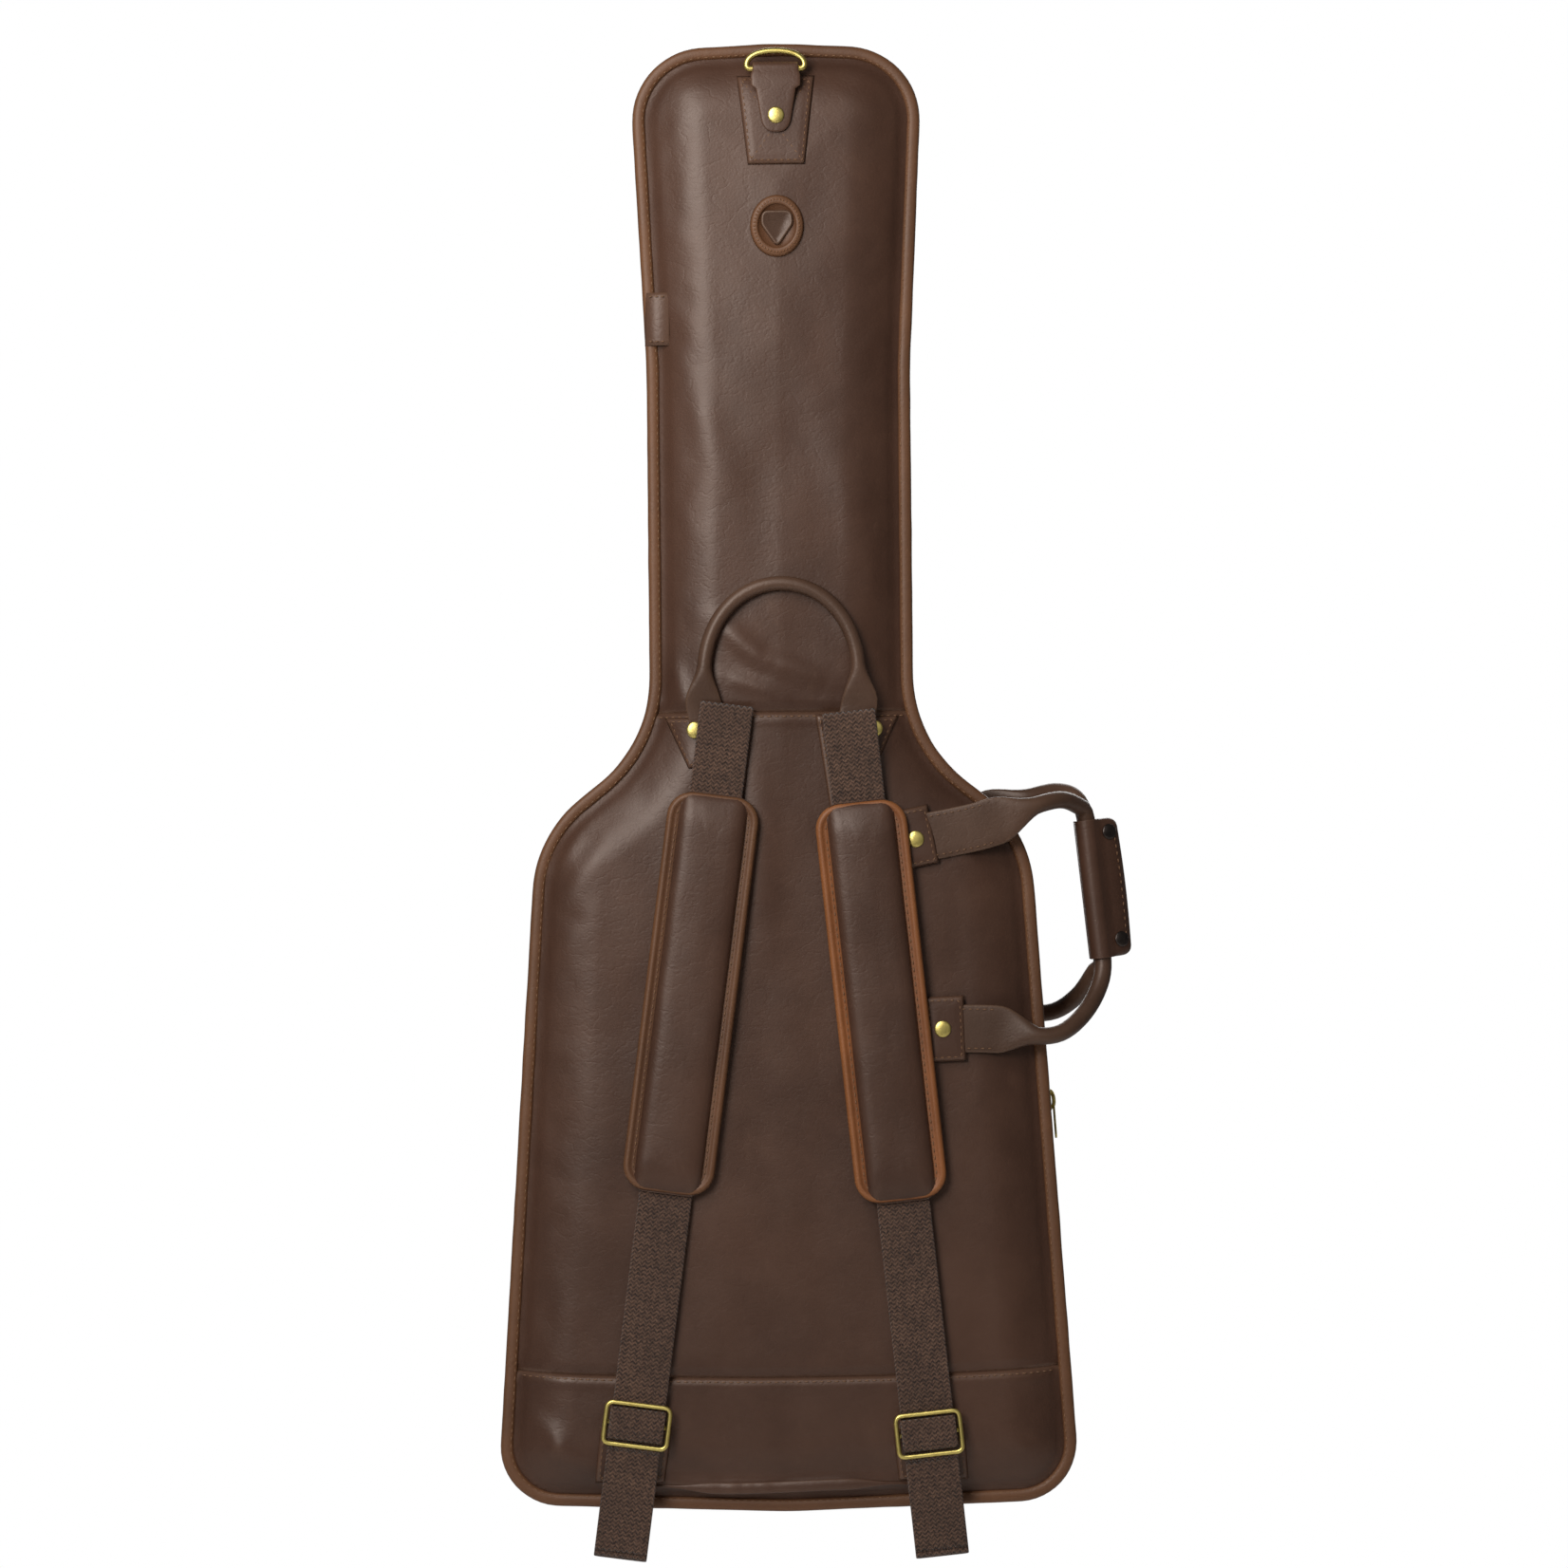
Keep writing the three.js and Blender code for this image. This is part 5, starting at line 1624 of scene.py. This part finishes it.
def build_spine() -> None:
    """Makes the leather spine that the lid opens on, along the straight -X side."""
    def spine(place: Vector) -> bool:
        return place.x < 0 and -OUTLINE.length + 0.049 < place.z < OUTLINE.shoulder_z - 0.047

    depths = np.linspace(-0.0088, 0.0088, 13)
    outside = [(-0.0006 - 0.0004 * math.cos(d * 170), d) for d in depths]
    inside = [(0.0009, d) for d in reversed(depths)]
    rings, _ = OUTLINE.band([*outside, *inside], 1.0, spine, step=0.006)
    bm = bmesh.new()
    loft(bm, rings)
    piece = place_piece("spine_leather", bm, Finish.PANEL, None, ["spine_strip"])
    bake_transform(piece)


def build_zip_end_tab(back: PaddedHalf) -> None:
    """Makes the folded leather tab over the zip's end at the neck."""
    z, half, x = -0.195, 0.019, -OUTLINE.neck_half - 0.0025
    section = [(0.014, 0.0352), (0.006, 0.0345), (-0.0012, 0.0330), (-0.0030, 0.0300),
               (-0.0032, 0.0240), (-0.0030, 0.0110)]
    wall = 0.0014
    rings = []
    for share in np.linspace(-1.0, 1.0, 12):
        droop = 0.001 * share * share
        outer = [Vector((x + 0.0025 + inset - 0.0006, -(depth - droop), z + half * share))
                 for inset, depth in section]
        inner = [p + Vector((wall, wall * 0.6, 0.0)) for p in reversed(outer)]
        rings.append([*outer, *inner])
    bm = bmesh.new()
    loft(bm, rings)
    place_piece("zip_end_tab_leather", bm, Finish.PANEL, back.body, ["zip_end_tab"])
    threads = bmesh.new()
    for offset in (-0.85, 0.85):
        line = [Vector((x + inset, -(depth + 0.0003), z + half * offset))
                for inset, depth in section[:3]]
        Stitch(0.0030, 0.0009, 0.0042).sew(threads, line, back.outward)
    place_piece("zip_end_tab_stitches", threads, Finish.THREAD, back.body)


@dataclass
class Pocket:
    """The zipped accessory pocket on the front."""

    half: PaddedHalf
    half_width: float = 0.130
    top: float = -0.740
    bottom: float = -0.992
    base: float = 0.0453
    depth: float = 0.022
    zip_half: float = 0.105

    def build(self) -> None:
        """Makes the pouch, its piping and stitches, and its zip."""
        corners = box_corners(self.half_width, self.top, self.bottom, 0.030)
        face = self.base + self.depth
        rises = [(0.0, self.base - 0.0006), (-0.0006, self.base + 0.006), (0.0, face - 0.0068),
                 (0.0012, face - 0.0030), (0.0040, face - 0.0008), (0.0080, face - 0.0014),
                 (0.0110, face - 0.0004), (0.0200, face + 0.0008), (0.0290, face + 0.0011)]
        count = 260
        rings = [fixed_ring(rounded(corners, inset, 0.003), count,
                            lambda x, z, y=y: Vector((x, y + 0.0006 * noise.noise(
                                Vector((x * 30, 2.0, z * 30))), z))) for inset, y in rises]
        bm = bmesh.new()
        loft(bm, rings)
        pouch = place_piece("front_pocket_leather", bm, Finish.PANEL, self.half.body,
                            ["front_pocket"])
        line = level_ring(corners, 0.0095, face + 0.0001, 400)
        Stitch().row("front_pocket_stitches", line, self.half.outward, self.half.body, True)
        piping = bmesh.new()
        path = level_ring(corners, 0.0004, face - 0.0045, 300)
        Strip(path, steady(0.0017), steady(0.0017), steady(2.0), sides=8, closed=True).build(piping)
        place_piece("front_pocket_piping", piping, Finish.TRIM, self.half.body)
        self.build_zip()

    def build_zip(self) -> None:
        """Makes the zip along the pocket's top wall."""
        middle, top = self.base + (self.depth - 0.007) / 2, self.top + 0.0012
        tape = bmesh.new()
        block(tape, (2 * self.zip_half, 0.0126, 0.0012),
              Matrix.Translation((0.0, middle, top - 0.0002)), 0.0003)
        place_piece("pocket_zip_cloth", tape, Finish.TAPE, self.half.body, ["pocket_zip_tape"])
        teeth = bmesh.new()
        for index, x in enumerate(np.arange(-0.100, 0.100, 0.0022)):
            shift = 0.0008 if index % 2 else -0.0008
            place = Matrix.Translation((x, middle + shift, top + 0.0006))
            block(teeth, (0.0014, 0.0030, 0.0014), place, edge=0.0)
        place_piece("pocket_zip_teeth", teeth, Finish.SNAP, self.half.body)
        axes = Matrix((Z_AXIS, BACKWARD, X_AXIS)).transposed().to_4x4()
        place = Matrix.Translation((self.zip_half - 0.0085, middle, top + 0.0008)) @ axes
        ZipRunner("pocket_zip", place, "pocket_zip_runner", "pocket_zip_leaf",
                  "pocket_zip_slider", "pocket_zip_pull").build()


def build_neck_rest(back: PaddedHalf) -> None:
    """Makes the pillow under the guitar's neck."""
    corners = box_corners(0.048, -0.228, -0.296, 0.014)
    base = -0.0306
    rises = [(0.001, base + 0.0004), (0.0, base + 0.006), (0.0008, base + 0.014),
             (0.004, base + 0.020), (0.009, base + 0.0232), (0.0130, base + 0.0240)]
    bm = bmesh.new()
    loft(bm, [level_ring(corners, inset, y, 120, 0.002) for inset, y in rises])
    pillow = place_piece("neck_rest_pillow", bm, Finish.LINING, back.body, ["neck_rest"])


def dress_inside() -> None:
    """Gives the padding and lining their finishes."""
    for name in ("back", "front"):
        dress(f"{name}_foam", Finish.FOAM)
        dress(f"{name}_lining", Finish.LINING)


# ---- stage -------------------------------------------------------------------------------
@dataclass(frozen=True)
class Studio:
    """Pale floor, soft lights and the camera."""

    width: float = 1.1234
    distance: float = 4.6
    centre: tuple[float, float] = (0.0012, -0.5297)
    roll: float = 0.556
    floor_z: float = -1.50

    def build(self) -> None:
        """Makes the floor, the lights and the camera."""
        bm = bmesh.new()
        bmesh.ops.create_circle(bm, cap_ends=True, segments=96, radius=2.2)
        bmesh.ops.translate(bm, verts=bm.verts, vec=ORIGIN + Vector((0, 0, self.floor_z)))
        mesh = bpy.data.meshes.new("floor")
        bm.to_mesh(mesh)
        bm.free()
        floor = bpy.data.objects.new("floor", mesh)
        bpy.context.scene.collection.objects.link(floor)
        make = Shader("floor_paint")
        cloud = make.noise(make.place(), 3.0)
        make.link("Base Color", make.mix(cloud, (0.80, 0.80, 0.79, 1), (0.84, 0.84, 0.83, 1)))
        make.constant(Roughness=0.8)
        mesh.materials.append(make.material)
        self.build_world()
        self.add_light("key", (-0.85, -2.0, 0.06), 0.8, 32.0)
        self.add_light("top", (-0.45, -1.0, 0.45), 0.6, 10.0)
        self.add_light("fill", (1.6, -3.0, 0.6), 2.0, 5.0)
        self.add_light("back", (0.4, 2.8, 0.4), 2.2, 52.0)
        self.add_camera()

    def build_world(self) -> None:
        """White surroundings that light the bag softly."""
        world = bpy.data.worlds.new("studio")
        bpy.context.scene.world = world
        world.use_nodes = True
        tree = world.node_tree
        tree.nodes.clear()
        output = tree.nodes.new("ShaderNodeOutputWorld")
        seen = tree.nodes.new("ShaderNodeBackground")
        seen.inputs["Strength"].default_value = 1.0
        seen.inputs["Color"].default_value = (1, 1, 1, 1)
        lit = tree.nodes.new("ShaderNodeBackground")
        lit.inputs["Strength"].default_value = 0.13
        lit.inputs["Color"].default_value = (1, 1, 1, 1)
        rays = tree.nodes.new("ShaderNodeLightPath")
        mix = tree.nodes.new("ShaderNodeMixShader")
        tree.links.new(rays.outputs["Is Camera Ray"], mix.inputs[0])
        tree.links.new(lit.outputs[0], mix.inputs[1])
        tree.links.new(seen.outputs[0], mix.inputs[2])
        tree.links.new(mix.outputs[0], output.inputs["Surface"])
        bpy.context.scene.view_settings.view_transform = "Standard"

    def add_light(self, name: str, place: tuple[float, float, float], size: float,
                  power: float) -> None:
        """Adds a soft square light that points at the middle of the bag."""
        light = bpy.data.lights.new(name, "AREA")
        light.size = size
        light.energy = power
        obj = bpy.data.objects.new(name, light)
        bpy.context.scene.collection.objects.link(obj)
        target = ORIGIN + Vector((0.0, 0.0, self.centre[1]))
        obj.location = ORIGIN + Vector(place)
        obj.rotation_euler = (target - obj.location).to_track_quat("-Z", "Y").to_euler()

    def add_camera(self) -> None:
        """Adds the camera, square to the back, rolled by the bag's slight lean."""
        data = bpy.data.cameras.new("camera")
        data.sensor_width = 36.0
        data.lens = 36.0 * self.distance / self.width
        camera = bpy.data.objects.new("camera", data)
        bpy.context.scene.collection.objects.link(camera)
        x, z = self.centre
        camera.location = Vector((x + ORIGIN.x, -self.distance, z + ORIGIN.z))
        upright = Matrix.Rotation(math.radians(90), 4, "X")
        roll = Matrix.Rotation(math.radians(self.roll), 4, "Y")
        camera.rotation_euler = (roll @ upright).to_euler()
        bpy.context.scene.camera = camera


def build_bag() -> None:
    """Makes every piece of the bag."""
    back = PaddedHalf("back", "root", -1.0, BACK_FOLDS)
    front = PaddedHalf("front", "lid", 1.0, FRONT_FOLDS, seams=())
    top, bottom = 0.0, -OUTLINE.length
    back.build_panels({"back_neck_panel": (back.seams[0], top),
                       "back_body_panel": (back.seams[1], back.seams[0]),
                       "back_bottom_panel": (bottom, back.seams[1])}, 0.0030)
    front.build_panels({"front_panel": (bottom, top)}, 0.0038)
    back.sew_seams()
    back.build_bottom_fold()
    back.build_edges()
    front.build_edges()
    Patch("strap_strip", back, ((0.0240, -0.4800), (0.0345, -0.4800), (0.0440, -0.5480),
                                (0.0340, -0.5480)), (), Finish.PANEL, 0.0016).build()
    HangingRing(back).build()
    Badge(back).build()
    CarryHandle(back).build()
    ShoulderStrap("left", back, -0.039, -0.473, 7.7, Finish.TRIM).build()
    ShoulderStrap("right", back, 0.048, -0.479, -5.8, Finish.PAD_TRIM).build()
    SideHandle("back", back, "handle_back").build()
    SideHandle("front", front, "handle_front").build()
    build_spine()
    build_main_zip_runner()
    build_zip_end_tab(back)
    Pocket(front).build()
    build_neck_rest(back)
    dress_inside()


def main() -> None:
    """Builds the stage and the bag."""
    logging.basicConfig(level=logging.INFO, format="%(name)s %(message)s")
    Studio().build()
    build_bag()


if __name__ == "__main__":
    main()
